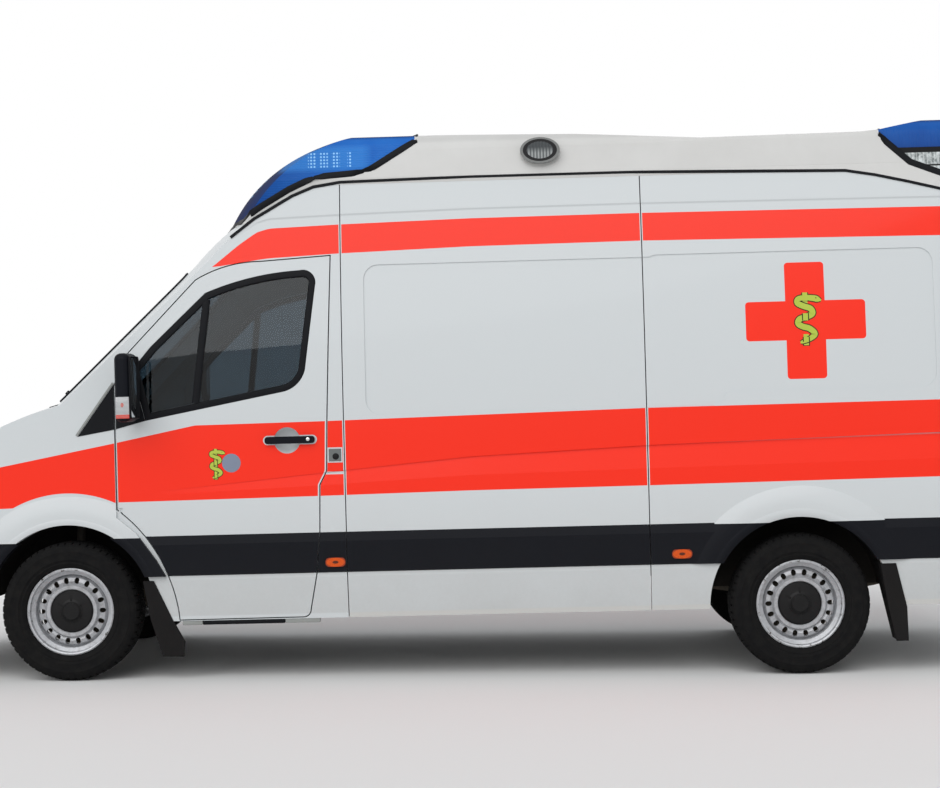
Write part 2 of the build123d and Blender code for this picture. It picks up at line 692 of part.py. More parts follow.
def hinge_half(side, low_z, reach_y):
    """Half of an outside strap hinge: its barrel round the hinge line and its strap along the panel."""
    middle = Pos(REAR_HINGE_X, side * REAR_HINGE_Y, low_z + REAR_HINGE_HEIGHT / 2)
    strap = box_between((TAIL_X, TAIL_X + 5), sorted((side * REAR_HINGE_Y, side * reach_y)),
                        (low_z, low_z + REAR_HINGE_HEIGHT))
    return middle * Cylinder(REAR_HINGE_RADIUS, REAR_HINGE_HEIGHT) + strap


def rear_frame():
    """Corner posts, header and sill round the rear doors, stepped for their seal."""
    frame = shell(POST) & span(REAR_SEAM_X + SEAM / 2, TAIL_X + 1)
    frame -= yz_prism(rear_opening(0), TAIL_X - REAR_DOOR_SKIN - 7, TAIL_X + 20)
    frame -= yz_prism(rear_opening(-SEAL_LAP), TAIL_X - 200, TAIL_X + 20)
    frame -= crease(GROOVE_STATIONS)
    frame -= tail_lamp_block()
    for side in (-1, 1):
        for z in REAR_HINGE_Z:
            frame += hinge_half(side, z - REAR_HINGE_HEIGHT - 1, REAR_HINGE_Y + 70)
    return frame


keep("rear_frame", rear_frame())
keep("tail_lamps", (envelope(0) - envelope(60)) & tail_lamp_block())

rear_slab = yz_prism(rear_opening(-DOOR_GAP), TAIL_X - REAR_DOOR_SKIN, TAIL_X)
REAR_PANE_SIZE = (520.0, 620.0)
REAR_FIELD_SIZE = (600.0, 560.0)


def rear_door_face(side, size, radius, z):
    """A rounded outline in the middle of one rear door, in Y and Z."""
    return Pos(side * REAR_DOOR_HALF / 2, z) * RectangleRounded(*size, radius)


for side, name in ((-1, "left"), (1, "right")):
    middle_edge = sorted((side * REAR_DOOR_GAP / 2, side * FAR))
    pane_face = rear_door_face(side, REAR_PANE_SIZE, 60, 1690)
    field_face = rear_door_face(side, REAR_FIELD_SIZE, 50, 950)
    rear_door = rear_slab & box_between((0, FAR), middle_edge, (0, TOP))
    rear_door -= yz_prism(pane_face, TAIL_X - 100, TAIL_X + 20)
    rear_door -= yz_prism(field_face, TAIL_X - FIELD_DEPTH, TAIL_X + 20)
    for z in REAR_HINGE_Z:
        rear_door += hinge_half(side, z - 0.6, REAR_HINGE_Y - 90)
    keep(name + "_rear_door", rear_door)
    keep(name + "_rear_door_glass", yz_prism(pane_face, TAIL_X - 20, TAIL_X - 20 + GLASS))

REAR_BUMPER_HALF = HALF_WIDTH - 85.0
rear_bumper = box_between((TAIL_X + 3, BUMPER_TAIL_X), (-REAR_BUMPER_HALF, REAR_BUMPER_HALF), (330, 530))
rear_bumper = fillet(rear_bumper.edges().filter_by(Axis.Z).sort_by(Axis.X)[-2:], 60)
rear_bumper += both_sides(box_between((TAIL_X - 120, TAIL_X + 3), (430, 500), (380, 470)) - OUTER)
keep("rear_bumper", rear_bumper)

# Floors and the wall between cab and load space
FLOOR_TOP = 640.0
CAB_FLOOR_TOP = 600.0
FLOOR_THICK = 40.0
BULKHEAD_X = -455.0
FIREWALL_X = -1640.0
FRONT_LINER_Y = HALF_WIDTH - 525.0
REAR_LINER_Y = HALF_WIDTH - 415.0
inside = envelope(POST + 1)


def arch_room(hub, radius, inner):
    """The room that an arch and its liner take from a floor, outside the liner's inner wall."""
    middle = box_between((-FAR, FAR), (10 - inner, inner - 10), (0, TOP))
    return disc_block(hub, radius + 2 * LINER) - middle


front_room = arch_room(FRONT_HUB, FRONT_ARCH_RADIUS, FRONT_LINER_Y)
rear_room = arch_room(REAR_HUB, REAR_ARCH_RADIUS, REAR_LINER_Y)
load_floor = envelope(WALL + 0.5) & span(B_SEAM_X + 10, REAR_SEAM_X - 5, FLOOR_TOP - FLOOR_THICK, FLOOR_TOP)
keep("load_floor", load_floor - rear_room)
cab_floor = inside & span(FIREWALL_X, B_SEAM_X + 8, CAB_FLOOR_TOP - FLOOR_THICK, CAB_FLOOR_TOP)
firewall = inside & span(FIREWALL_X - 30, FIREWALL_X, CAB_FLOOR_TOP - FLOOR_THICK, 1230)
toe = inside & span(-2010, FIREWALL_X, 1200, 1230)
toe += inside & span(-2040, -2010, 1200, 1330)
keep("cab_floor", (cab_floor - front_room) + (firewall - front_room) + toe)
bulkhead = envelope(WALL + 0.5) & span(BULKHEAD_X - 20, BULKHEAD_X + 20, FLOOR_TOP, TOP)
keep("bulkhead", bulkhead)

# Wheel arch liners
liners = []
for hub, radius, inner in ((FRONT_HUB, FRONT_ARCH_RADIUS, FRONT_LINER_Y),
                           (REAR_HUB, REAR_ARCH_RADIUS, REAR_LINER_Y)):
    ring = disc(hub, radius + LINER) - disc(hub, radius)
    plate = disc(hub, radius + LINER)
    arch = xz_prism(ring, inner, HALF_WIDTH - 25) + xz_prism(plate, inner - LINER, inner)
    liners.append(both_sides(arch & span(-FAR, FAR, hub[1] + 60, TOP)) & envelope(WALL + 0.5))
keep("wheel_arch_liners", liners[0] + liners[1])

# Underneath: frame rails, engine, tank, axles
RAIL_Y = (350.0, 430.0)
RAIL_LOW_Z = 455.0
RAIL_STEP_X = B_SEAM_X + 9
RAIL_NOSE_X = -2740.0
MEMBER_WIDTH = 60.0
MEMBER_TOP_Z = RAIL_LOW_Z + 80.0
rear_rail = box_between((RAIL_STEP_X, REAR_SEAM_X), RAIL_Y, (RAIL_LOW_Z, FLOOR_TOP - FLOOR_THICK))
front_rail = box_between((RAIL_NOSE_X, RAIL_STEP_X), RAIL_Y, (RAIL_LOW_Z, CAB_FLOOR_TOP - FLOOR_THICK))
rails = both_sides(rear_rail + front_rail)
for x in (RAIL_NOSE_X, -2560, -2100, -1500, -300, 900, 2500):
    rails += box_between((x, x + MEMBER_WIDTH), (-RAIL_Y[0], RAIL_Y[0]), (RAIL_LOW_Z + 10, MEMBER_TOP_Z))
keep("chassis_rails", rails)

# Socket for the towing eye, welded to the nose of the right rail and reached through the air intake
SOCKET_Y = 390.0
SOCKET_Z = 484.0
SOCKET_RADIUS = 22.0
SOCKET_LENGTH = 150.0
SOCKET_BORE_RADIUS = 11.0
SOCKET_BORE_DEPTH = 80.0
socket_mouth = (RAIL_NOSE_X - SOCKET_LENGTH, SOCKET_Y, SOCKET_Z)
socket = rod((RAIL_NOSE_X, SOCKET_Y, SOCKET_Z), socket_mouth, SOCKET_RADIUS)
socket -= rod((socket_mouth[0] + SOCKET_BORE_DEPTH, SOCKET_Y, SOCKET_Z), socket_mouth, SOCKET_BORE_RADIUS)
keep("towing_socket", socket)

engine = box_between((-2640, -1960), (-300, 300), (MEMBER_TOP_Z + 0.3, 1000))
keep("engine_block", fillet(engine.edges().filter_by(Axis.X), 60))

tank = box_between((-250, 850), (-330, 330), (290, RAIL_LOW_Z + 10))
keep("fuel_tank", fillet(tank.edges().filter_by(Axis.X), 45))

# Front suspension: crossmember, lower arms and struts; the knuckles turn on it
PIVOT_LOW_Z = 262.0
PIVOT_HIGH_Z = 480.0
HUB_PLATE = 14.0
HUB_PLATE_RADIUS = 92.0


def front_axle():
    """Crossmember, two lower arms on each side and the two struts, down to each knuckle's pivots."""
    beam = box_between((FRONT_AXLE_X - 70, FRONT_AXLE_X + 70), (-RAIL_Y[1], RAIL_Y[1]), (235, 290))
    for side in (-1, 1):
        joint = (FRONT_AXLE_X, side * KINGPIN_Y, PIVOT_LOW_Z - 17.5)
        for place in (-50, 50):
            inner_end = (FRONT_AXLE_X + place, side * (RAIL_Y[1] - 20), 262)
            beam += rod(inner_end, (joint[0], joint[1], 240), 16)
        beam += Pos(*joint) * Cylinder(34, 34)
        hanger = sorted((side * RAIL_Y[0], side * RAIL_Y[1]))
        beam += box_between((FRONT_AXLE_X - 40, FRONT_AXLE_X + 40), hanger, (290, RAIL_LOW_Z))
        foot = (FRONT_AXLE_X, side * KINGPIN_Y, PIVOT_HIGH_Z + 8.5)
        beam += Pos(*foot) * Cylinder(24, 16)
        strut_top = (FRONT_AXLE_X, side * (KINGPIN_Y - 80), 800)
        beam += rod((foot[0], foot[1] - side * 4, foot[2]), strut_top, 22)
    beam -= disc_block(FRONT_HUB, FAR) - disc_block(FRONT_HUB, FRONT_ARCH_RADIUS - 0.3)
    return beam


keep("front_axle", front_axle())


def knuckle(side):
    """Upright, spindle and hub plate of one front wheel."""
    post = Pos(FRONT_AXLE_X, side * KINGPIN_Y, (PIVOT_LOW_Z + PIVOT_HIGH_Z) / 2)
    body = post * Cylinder(26, PIVOT_HIGH_Z - PIVOT_LOW_Z)
    plate = (FRONT_AXLE_X, side * (HUB_FACE - HUB_PLATE), HUB_Z)
    body += rod((FRONT_AXLE_X, side * KINGPIN_Y, HUB_Z), plate, 36)
    body += rod(plate, (FRONT_AXLE_X, side * HUB_FACE, HUB_Z), HUB_PLATE_RADIUS)
    return body


keep("left_knuckle", knuckle(-1))
keep("right_knuckle", knuckle(1))

SPRING_Y = 520.0
SPRING_HALF_WIDTH = 35.0


def rear_axle():
    """Solid axle with its differential, carried by a leaf spring on each side."""
    ends = [(REAR_AXLE_X, side * (HUB_FACE - HUB_PLATE), REAR_HUB_Z) for side in (-1, 1)]
    axle = rod(*ends, 46)
    axle += Pos(REAR_AXLE_X, 0, REAR_HUB_Z) * Sphere(138)
    for side, end in zip((-1, 1), ends):
        axle += rod(end, (REAR_AXLE_X, side * HUB_FACE, REAR_HUB_Z), HUB_PLATE_RADIUS)
        eye_front = (REAR_AXLE_X - 640, 430)
        low = (REAR_AXLE_X, REAR_HUB_Z + 38)
        eye_rear = (REAR_AXLE_X + 700, 440)
        upper = ThreePointArc(eye_front, low, eye_rear)
        lower = ThreePointArc((eye_rear[0], eye_rear[1] - 22), (low[0], low[1] - 30),
                              (eye_front[0], eye_front[1] - 22))
        leaf = make_face([upper, lower, Line(upper @ 1, lower @ 0), Line(lower @ 1, upper @ 0)])
        inner, outer = SPRING_Y - SPRING_HALF_WIDTH, SPRING_Y + SPRING_HALF_WIDTH
        axle += xz_prism(leaf, side * inner, side * outer)
        across = sorted((side * RAIL_Y[1], side * (outer + 5)))
        for eye in (eye_front, eye_rear):
            axle += box_between((eye[0] - 30, eye[0] + 30), across, (eye[1] - 30, RAIL_LOW_Z + 30))
    return axle


keep("rear_axle", rear_axle())

# Cab fittings
SEAT_Y = 420.0
plinth = box_between((-1130, -640), (SEAT_Y - 190, SEAT_Y + 190), (CAB_FLOOR_TOP, 800))
keep("seat_frames", both_sides(plinth))


def cushions(side):
    """One seat's cushion, backrest and headrest on its two posts."""
    y = side * SEAT_Y
    seat = fillet(Box(520, 470, 130).edges(), 40)
    back = fillet(Box(120, 450, 620).edges(), 40)
    head = fillet(Box(90, 260, 190).edges(), 35)
    posts = [rod((-560, y + place, 1480), (-545, y + place, 1540), 7) for place in (-60, 60)]
    group = Pos(-890, y, 865.3) * seat
    group += Pos(-620, y, 1200) * Rot(0, 12, 0) * back
    group += Pos(-545, y, 1612) * Rot(0, 12, 0) * head
    for post in posts:
        group += post
    return group


keep("driver_seat", cushions(-1))
keep("passenger_seat", cushions(1))

dash_profile = make_face([
    ThreePointArc((-1975, 1245), (-1760, 1280), (-1590, 1205)),
    Polyline((-1590, 1205), (-1540, 1090), (-1560, 960), (-1635, 900), (-1639.7, 1230.3), (-1975, 1230.3),
             (-1975, 1245)),
])
DASH_HALF = HALF_WIDTH - 123.0
keep("dashboard", xz_prism(dash_profile, -DASH_HALF, DASH_HALF))

WHEEL_HUB = (-1390.0, -SEAT_Y, 1150.0)
COLUMN_DEG = 32.0
column_dir = Vector(cos(radians(COLUMN_DEG)), 0, sin(radians(COLUMN_DEG)))
column_foot = Vector(*WHEEL_HUB) - column_dir * 230
column = rod(tuple(column_foot), tuple(Vector(*WHEEL_HUB) - column_dir * 25.4), 38)
keep("steering_column", column - PARTS_STRAIGHT["dashboard"])
wheel_plane = Plane(origin=WHEEL_HUB, z_dir=column_dir)
rim = wheel_plane * Torus(195, 15)
boss = wheel_plane * Cylinder(70, 50)
for turn in (0, 125, 235):
    spoke = wheel_plane * (Rot(0, 0, turn) * Pos(125, 0, -4) * Box(130, 36, 14))
    boss += spoke
keep("steering_wheel", rim + boss)

# Lamps on the side
side_lamps = Part()
for side in (-1, 1):
    bezel = Plane.XZ * Ellipse(100, 65)
    body = Pos(475, side * (HALF_WIDTH - 105), 2612) * extrude(bezel, amount=22, both=True)
    side_lamps += body - PARTS_STRAIGHT["roof_fairing"]
keep("side_lamps", side_lamps)

markers = Part()
for x in (-600, 1128):
    marker = Pos(x, 572) * RectangleRounded(100, 45, 20)
    markers += both_sides(xz_prism(marker, HALF_WIDTH + STRIP_PROUD, HALF_WIDTH + STRIP_PROUD + 8))
keep("marker_lamps", markers)

# Mud flaps
flaps = Part()
for top, low in (((-1540, 500), (-1440, 106)), ((2112, 500), (2200, 104))):
    face = outline(top, (top[0] + 9, top[1]), (low[0] + 9, low[1]), low)
    flap = xz_prism(face, HALF_WIDTH - 240, HALF_WIDTH - 97)
    flaps += both_sides(flap - PARTS_STRAIGHT["wheel_arch_liners"])
keep("mud_flaps", flaps)


# Wheels


def tyre():
    """One tyre about Y, from its bead to its tread."""
    half = TYRE_WIDTH / 2
    bead, shoulder = 210.6, TYRE_RADIUS
    profile = make_face([
        Polyline((80, bead), (90.3, bead + 1.8), (90.3, bead + 12), (99.5, bead + 14)),
        ThreePointArc((99.5, bead + 14), (half + 2, 285), (half - 14, shoulder - 16)),
        ThreePointArc((half - 14, shoulder - 16), (half - 20, shoulder - 6), (half - 32, shoulder - 3)),
        ThreePointArc((half - 32, shoulder - 3), (0, shoulder), (-half + 32, shoulder - 3)),
        ThreePointArc((-half + 32, shoulder - 3), (-half + 20, shoulder - 6), (-half + 14, shoulder - 16)),
        ThreePointArc((-half + 14, shoulder - 16), (-half - 2, 285), (-99.5, bead + 14)),
        Polyline((-99.5, bead + 14), (-90.3, bead + 12), (-90.3, bead + 1.8), (-80, bead),
                 (-70, bead + 30), (-half + 20, 280), (-half + 34, shoulder - 20),
                 (half - 34, shoulder - 20), (half - 20, 280), (70, bead + 30), (80, bead)),
    ])
    return revolve(Plane.YX * profile, Axis.Y, 360)


def wheel_disc():
    """A pressed steel wheel: rim with its flanges and well, and the pierced disc, bolted at the hub."""
    rim = outline((95, 220), (99, 214), (96, 207), (72, 204), (60, 186), (20, 180), (-40, 186),
                  (-72, 204), (-96, 207), (-99, 214), (-95, 220), (-91, 212), (-68, 208), (-38, 190),
                  (18, 184), (56, 190), (68, 208), (91, 212))
    dish = outline((30, 183), (52, 168), (58, 150), (52, 138), (66, 128), (66, 112), (46, 96),
                   (42, 40), (29.5, 40), (29.5, 92), (52, 112), (52, 122), (40, 134), (44, 148),
                   (40, 160), (22, 177))
    wheel = revolve(Plane.YX * rim, Axis.Y, 360) + revolve(Plane.YX * dish, Axis.Y, 360)
    hole = Rot(-90, 0, 0) * extrude(SlotOverall(32, 24), amount=90)
    for index in range(HOLE_COUNT):
        wheel -= Rot(0, index * 360 / HOLE_COUNT, 0) * Pos(HOLE_CIRCLE, 0, 0) * hole
    return wheel


def hub_cap():
    """The dark cap over the bolts, with six slots round a raised boss."""
    profile = outline((46.5, 0), (84, 0), (84, 40), (76, 48), (70, 60), (66.5, 100),
                      (60, HUB_CAP_RADIUS), (47, 96))
    cap = revolve(Plane.YX * profile, Axis.Y, 360)
    for index in range(6):
        cut = Pos(72, 90, 0) * Box(42, 44, 10)
        cap -= Rot(0, index * 60 + 30, 0) * cut
    return cap


TYRE, DISC, CAP = tyre(), wheel_disc(), hub_cap()
HUBS = [("front", FRONT_HUB), ("rear", REAR_HUB)]
for end, hub in HUBS:
    for side, name in ((-1, "left"), (1, "right")):
        place = Pos(hub[0], side * TRACK_HALF, hub[1]) * Rot(0, 0, 90 - side * 90)
        keep(f"{end}_{name}_tyre", place * TYRE)
        keep(f"{end}_{name}_wheel", place * (DISC + CAP))

os.makedirs("parts", exist_ok=True)
for name, shape in PARTS.items():
    export_step(shape, f"parts/{name}.step")
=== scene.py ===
import math

import bmesh
import bpy
import numpy as np
from mathutils import Matrix, Vector
from mathutils.bvhtree import BVHTree


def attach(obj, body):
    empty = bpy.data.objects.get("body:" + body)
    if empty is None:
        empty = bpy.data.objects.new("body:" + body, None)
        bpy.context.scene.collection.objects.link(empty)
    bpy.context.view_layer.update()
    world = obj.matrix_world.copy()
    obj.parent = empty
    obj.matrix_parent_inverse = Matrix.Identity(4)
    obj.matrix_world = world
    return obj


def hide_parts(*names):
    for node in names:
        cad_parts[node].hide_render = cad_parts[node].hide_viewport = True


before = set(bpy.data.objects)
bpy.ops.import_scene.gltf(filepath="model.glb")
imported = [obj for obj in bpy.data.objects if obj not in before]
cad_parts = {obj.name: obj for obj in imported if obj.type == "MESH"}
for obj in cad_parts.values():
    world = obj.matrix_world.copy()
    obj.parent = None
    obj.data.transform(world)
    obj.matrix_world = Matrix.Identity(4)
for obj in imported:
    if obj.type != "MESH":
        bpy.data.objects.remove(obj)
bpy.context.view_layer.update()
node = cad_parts

# Ground and light. The van stands on a plain pale floor that runs out to white, under an even sky,
# with one very broad lamp high on the side that faces the camera.
scene = bpy.context.scene
scene.view_settings.view_transform = "Standard"


def feed(socket, value):
    """Wires a value or another socket to an input, or sets a constant there."""
    value = getattr(value, "socket", value)
    if isinstance(value, bpy.types.NodeSocket):
        socket.id_data.links.new(value, socket)
    elif value is not None:
        socket.default_value = (*value, 1) if socket.type == "RGBA" else value


def add(tree, kind, *inputs, out=0, **settings):
    """A new node with its inputs fed in order, as the value that it gives."""
    made = tree.nodes.new(kind)
    for key, value in settings.items():
        setattr(made, key, value)
    for place, value in enumerate(inputs):
        feed(made.inputs[place], value)
    return Value(made.outputs[out])


class Value:
    """What a node gives. Signs add math nodes; | takes the higher of two and & the lower."""

    def __init__(self, socket):
        self.socket, self.tree = socket, socket.id_data

    def then(self, kind, *inputs, **settings):
        """A node that takes this value first."""
        return add(self.tree, kind, self, *inputs, **settings)

    def math(self, operation, *others, **settings):
        return self.then("ShaderNodeMath", *others, operation=operation, **settings)

    def __rsub__(self, other):
        return add(self.tree, "ShaderNodeMath", other, self, operation="SUBTRACT")

    def over(self, line, soft=0.0012):
        """1 where this is over a line and 0 under it, with a thin soft step between."""
        return (self - line).math("MULTIPLY_ADD", 1 / soft, 0.5, use_clamp=True)

    def under(self, line, soft=0.0012):
        return (line - self).math("MULTIPLY_ADD", 1 / soft, 0.5, use_clamp=True)

    def within(self, low, high, soft=0.006):
        return self.over(low, soft) * self.under(high, soft)

    def far(self, other, centre=(0.0, 0.0)):
        """How far the point at this value and another is from a centre."""
        return ((self - centre[0]) ** 2 + (other - centre[1]) ** 2).math("SQRT")

    def wave(self, length):
        return (self * (2 * math.pi / length)).math("SINE")

    def ramp(self, low, high, start, end):
        """Runs from start to end while this goes from low to high."""
        return self.then("ShaderNodeMapRange", low, high, start, end)

    def noise(self, scale, detail, rough):
        return self.then("ShaderNodeTexNoise", None, scale, detail, rough)

    def blend(self, first, second):
        """One colour turning to another as this goes from 0 to 1."""
        made = self.then("ShaderNodeMix", data_type="RGBA", out=2)
        feed(made.socket.node.inputs[6], first)
        feed(made.socket.node.inputs[7], second)
        return made


for sign, operation in {"add": "ADD", "sub": "SUBTRACT", "mul": "MULTIPLY", "pow": "POWER",
                        "or": "MAXIMUM", "and": "MINIMUM", "abs": "ABSOLUTE"}.items():
    setattr(Value, f"__{sign}__",
            lambda value, *others, operation=operation: value.math(operation, *others))


def new_object(name, points, faces):
    """A mesh object in the scene."""
    mesh = bpy.data.meshes.new(name)
    mesh.from_pydata(points, [], faces)
    made = bpy.data.objects.new(name, mesh)
    scene.collection.objects.link(made)
    return made


floor = new_object("floor", [(-60, -60, 0), (60, -60, 0), (60, 60, 0), (-60, 60, 0)], [(0, 1, 2, 3)])
floor_finish = bpy.data.materials.new("pale_floor")
floor_finish.use_nodes = True
tree = floor_finish.node_tree
shader = tree.nodes["Principled BSDF"]
feed(shader.inputs["Base Color"], (0.82, 0.82, 0.81))
feed(shader.inputs["Roughness"], 0.9)
far_off = add(tree, "ShaderNodeTexCoord", out="Object").then("ShaderNodeVectorMath", operation="LENGTH",
                                                             out="Value")
fading = far_off.ramp(4.0, 11.0, 0.0, 1.0) * add(tree, "ShaderNodeLightPath", out="Is Camera Ray")
run_out = fading.then("ShaderNodeMixShader", shader.outputs[0], add(tree, "ShaderNodeEmission"))
feed(tree.nodes["Material Output"].inputs["Surface"], run_out)
floor.data.materials.append(floor_finish)

sky = bpy.data.worlds.new("soft_sky")
sky.use_nodes = True
scene.world = sky
tree = sky.node_tree
light = tree.nodes["Background"]
feed(light.inputs["Color"], (0.95, 0.97, 1.0))
feed(light.inputs["Strength"], 0.55)
rays = add(tree, "ShaderNodeLightPath").socket.node.outputs
camera_ray, glossy, through = [Value(rays[f"Is {kind} Ray"]) for kind in ("Camera", "Glossy", "Transmission")]
white = add(tree, "ShaderNodeBackground", (1, 1, 1), 1.0)
feed(tree.nodes["World Output"].inputs["Surface"],
     (camera_ray | glossy | through).then("ShaderNodeMixShader", light.outputs[0], white))

lamp = bpy.data.lights.new("broad_lamp", "SUN")
lamp.angle = math.radians(60)
lamp.energy = 1.6
lamp_holder = bpy.data.objects.new("broad_lamp", lamp)
lamp_holder.rotation_euler = Vector((0.25, 0.75, -0.6)).to_track_quat("-Z", "Y").to_euler()
scene.collection.objects.link(lamp_holder)

# Camera. It stands level and looks square at the van's left side, a little behind its middle, and is
# rolled by less than a degree.
IMAGE_WIDTH, FOCAL_PIXELS = 940, 1998.6
EYE = (0.3931, -10.96, 1.4191)
camera_data = bpy.data.cameras.new("camera")
camera_data.sensor_width = 36.0
camera_data.lens = camera_data.sensor_width * FOCAL_PIXELS / IMAGE_WIDTH
camera_data.clip_end = 200
camera = bpy.data.objects.new("camera", camera_data)
yaw, roll = math.radians(-1.793), math.radians(-0.8164)
ahead = Vector((math.sin(yaw), math.cos(yaw), 0))
rightward = Vector((math.cos(yaw), -math.sin(yaw), 0))
right_rolled = rightward * math.cos(roll) + Vector((0, 0, math.sin(roll)))
up_rolled = Vector((0, 0, math.cos(roll))) - rightward * math.sin(roll)
turn = Matrix((right_rolled, up_rolled, -ahead)).transposed().to_4x4()
camera.matrix_world = Matrix.Translation(EYE) @ turn
scene.collection.objects.link(camera)
scene.camera = camera

# Chassis, engine and axles. Pressed and cast steel under black wax, brown with road dust below. The van
# is drawn level and stands nose-down by 0.7 degrees, turned about its front hubs.
TILT = math.radians(0.7)
HUB_X, HUB_Z = -1.951, 0.35
DIRT = (0.2, 0.17, 0.13)


def settled(x, y, z, tilt=TILT):
    """A point of the level drawing, in metres, put where it is on the standing van."""
    dx, dz = x - HUB_X, z - HUB_Z
    return Vector((HUB_X + dx * math.cos(tilt) - dz * math.sin(tilt), y,
                   HUB_Z + dx * math.sin(tilt) + dz * math.cos(tilt)))


def levelled(point):
    """The way back: a point of the standing van in the level drawing."""
    return settled(*point, -TILT)


def group(name, outputs, **inputs):
    """An empty node group: its tree, what it is given, and its ends. A Place is a vector, all else a number."""
    tree = bpy.data.node_groups.new(name, "ShaderNodeTree")
    for label, value in inputs.items():
        kind = "NodeSocketVector" if label == "Place" else "NodeSocketFloat"
        socket = tree.interface.new_socket(label, in_out="INPUT", socket_type=kind)
        if value is not None:
            socket.default_value = value
    for label in outputs:
        tree.interface.new_socket(label, in_out="OUTPUT", socket_type="NodeSocketFloat")
    given = tree.nodes.new("NodeGroupInput").outputs[:len(inputs)]
    return tree, [Value(socket) for socket in given], tree.nodes.new("NodeGroupOutput").inputs


def use(tree, first, *inputs):
    """Places a node group, feeds its inputs in order and gives its outputs."""
    made = first.then("ShaderNodeGroup", *inputs, node_tree=tree)
    return [Value(socket) for socket in made.socket.node.outputs]


level, (place,), ends = group("level_place", ("Along", "Across", "Height"), Place=None)
parts = place.then("ShaderNodeMapping", levelled((0, 0, 0)), (0, TILT, 0)).then("ShaderNodeSeparateXYZ")
for end, part in zip(ends[:3], parts.socket.node.outputs[:3]):
    feed(end, part)

dust, (place, height, top), ends = group("road_dust", ["Dust"], Place=None, Height=None, Top=0.8)
cloud, speck = place.noise(3, 6, 0.6), place.noise(60, 3, 0.7)
feed(ends[0], height.ramp(0.28, top, 1, 0) * (cloud * 0.7 + speck * 0.3))

grain, (place, scale), ends = group("moulded_grain", ["Grain"], Place=None, Scale=900.0)
feed(ends[0], place.then("ShaderNodeTexVoronoi", None, scale) * 0.6 + place.noise(scale, 2, 0.5) * 0.4)


class Finish:
    """A material under way: its shader, the place on the piece, and that place in the level drawing."""

    def __init__(self, name, rough=0.5, metal=0.0, **sockets):
        self.made = bpy.data.materials.new(name)
        self.made.use_nodes = True
        self.tree = self.made.node_tree
        self.shader = self.tree.nodes["Principled BSDF"]
        self.send(Roughness=rough, Metallic=metal, **sockets)
        self.place = add(self.tree, "ShaderNodeTexCoord", out="Object")
        self.along, self.across, self.height = use(level, self.place)

    def send(self, **sockets):
        """Feeds the shader's own sockets, named with underlines for blanks, and gives the material."""
        for name, value in sockets.items():
            feed(self.shader.inputs[name.replace("_", " ")], value)
        return self.made

    def relief(self, height, depth):
        """Bump of a depth in metres from a height of 0 to 1."""
        self.send(Normal=add(self.tree, "ShaderNodeBump", 1.0, depth, None, height))


def layered(tone, *layers):
    """A colour with others laid over it, each where its mask is 1."""
    for mask, colour in layers:
        tone = mask.blend(tone, colour)
    return tone


def plastic(name, colour, rough, scale, depth, dirt_share, fade=1.35, metal=0.0):
    """A grained surface, a little faded in patches and dusty below."""
    made = Finish(name, rough, metal, Specular_IOR_Level=0.5 if metal else 0.08)
    dirt = use(dust, made.place, made.height, 1.0)[0] * dirt_share
    base = made.place.noise(5, 4, 0.6).blend(colour, [min(1, k * fade) for k in colour])
    made.relief(use(grain, made.place, scale)[0], depth)
    return made.send(Base_Color=dirt.blend(base, DIRT))


def give(finish, *names):
    """Puts a finish on CAD nodes."""
    for name in names:
        for one in node[name].material_slots:
            one.material = finish


waxed_steel = plastic("waxed_steel", (0.016, 0.016, 0.016), 0.6, 150, 0.0006, 0.8)
cast_metal = plastic("cast_metal", (0.1, 0.1, 0.1), 0.55, 300, 0.0004, 0.5, 1.3, 0.7)
give(waxed_steel, "chassis_rails", "front_axle", "rear_axle", "left_knuckle", "right_knuckle")
give(cast_metal, "engine_block", "towing_socket")

# Road wheels. Each is pressed from steel and painted silver, with a ring of oval holes to cool the
# brake, and a black plastic cap is pushed on over the bolts.
HUB_Y = 0.855
SIDES = ((-1, "left"), (1, "right"))
ENDS = (("front", HUB_X), ("rear", 1.714))
coat = Finish("wheel_paint", 0.42, Specular_IOR_Level=0.15)
east, up = [coat.place.then("ShaderNodeSeparateXYZ", out=axis) for axis in ("X", "Z")]
front, rear = [east.far(up, (hub_x, HUB_Z)) for _, hub_x in ENDS]
from_hub = front & rear
on_cap = from_hub.under(0.1087) * abs(coat.across).over(0.901)
scuff = coat.place.noise(40, 6, 0.65)
silver = layered((0.47, 0.48, 0.5),
                 (scuff.ramp(0.45, 0.75, 0, 0.8), (0.3, 0.3, 0.3)),
                 (from_hub.over(0.203, 0.004) * scuff.ramp(0.58, 0.64, 0, 1), (0.06, 0.05, 0.045)),
                 (from_hub.ramp(0.2, 0.14, 0, 0.35) * scuff, (0.05, 0.04, 0.035)))
dull_black = scuff.blend((0.006, 0.006, 0.0065), (0.012, 0.0115, 0.0115))
coat.relief(scuff, 0.0004)
wheel_paint = coat.send(Base_Color=on_cap.blend(silver, dull_black), Metallic=(1 - on_cap) * 0.35)
give(wheel_paint, *[f"{end}_{name}_wheel" for end, _ in ENDS for _, name in SIDES])


def joined(shells):
    """Shells of points and faces as one."""
    points, faces = [], []
    for some_points, some_faces in shells:
        faces += [[len(points) + index for index in face] for face in some_faces]
        points += some_points
    return points, faces


def piece(name, shells, finish, slot="trim_plastic", body="body", sharp=35, tilted=True):
    """One piece from closed shells: normals outward, rounds smooth, edges over an angle sharp."""
    points, faces = joined(shells)
    made = new_object(name, [settled(*p) for p in points] if tilted else points, faces)
    mesh = made.data
    shape = bmesh.new()
    shape.from_mesh(mesh)
    bmesh.ops.remove_doubles(shape, verts=shape.verts, dist=1e-6)
    bmesh.ops.recalc_face_normals(shape, faces=shape.faces)
    shape.to_mesh(mesh)
    shape.free()
    mesh.shade_smooth()
    mesh.set_sharp_from_angle(angle=math.radians(sharp))
    mesh.materials.append(finish)
    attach(made, body)
    return made


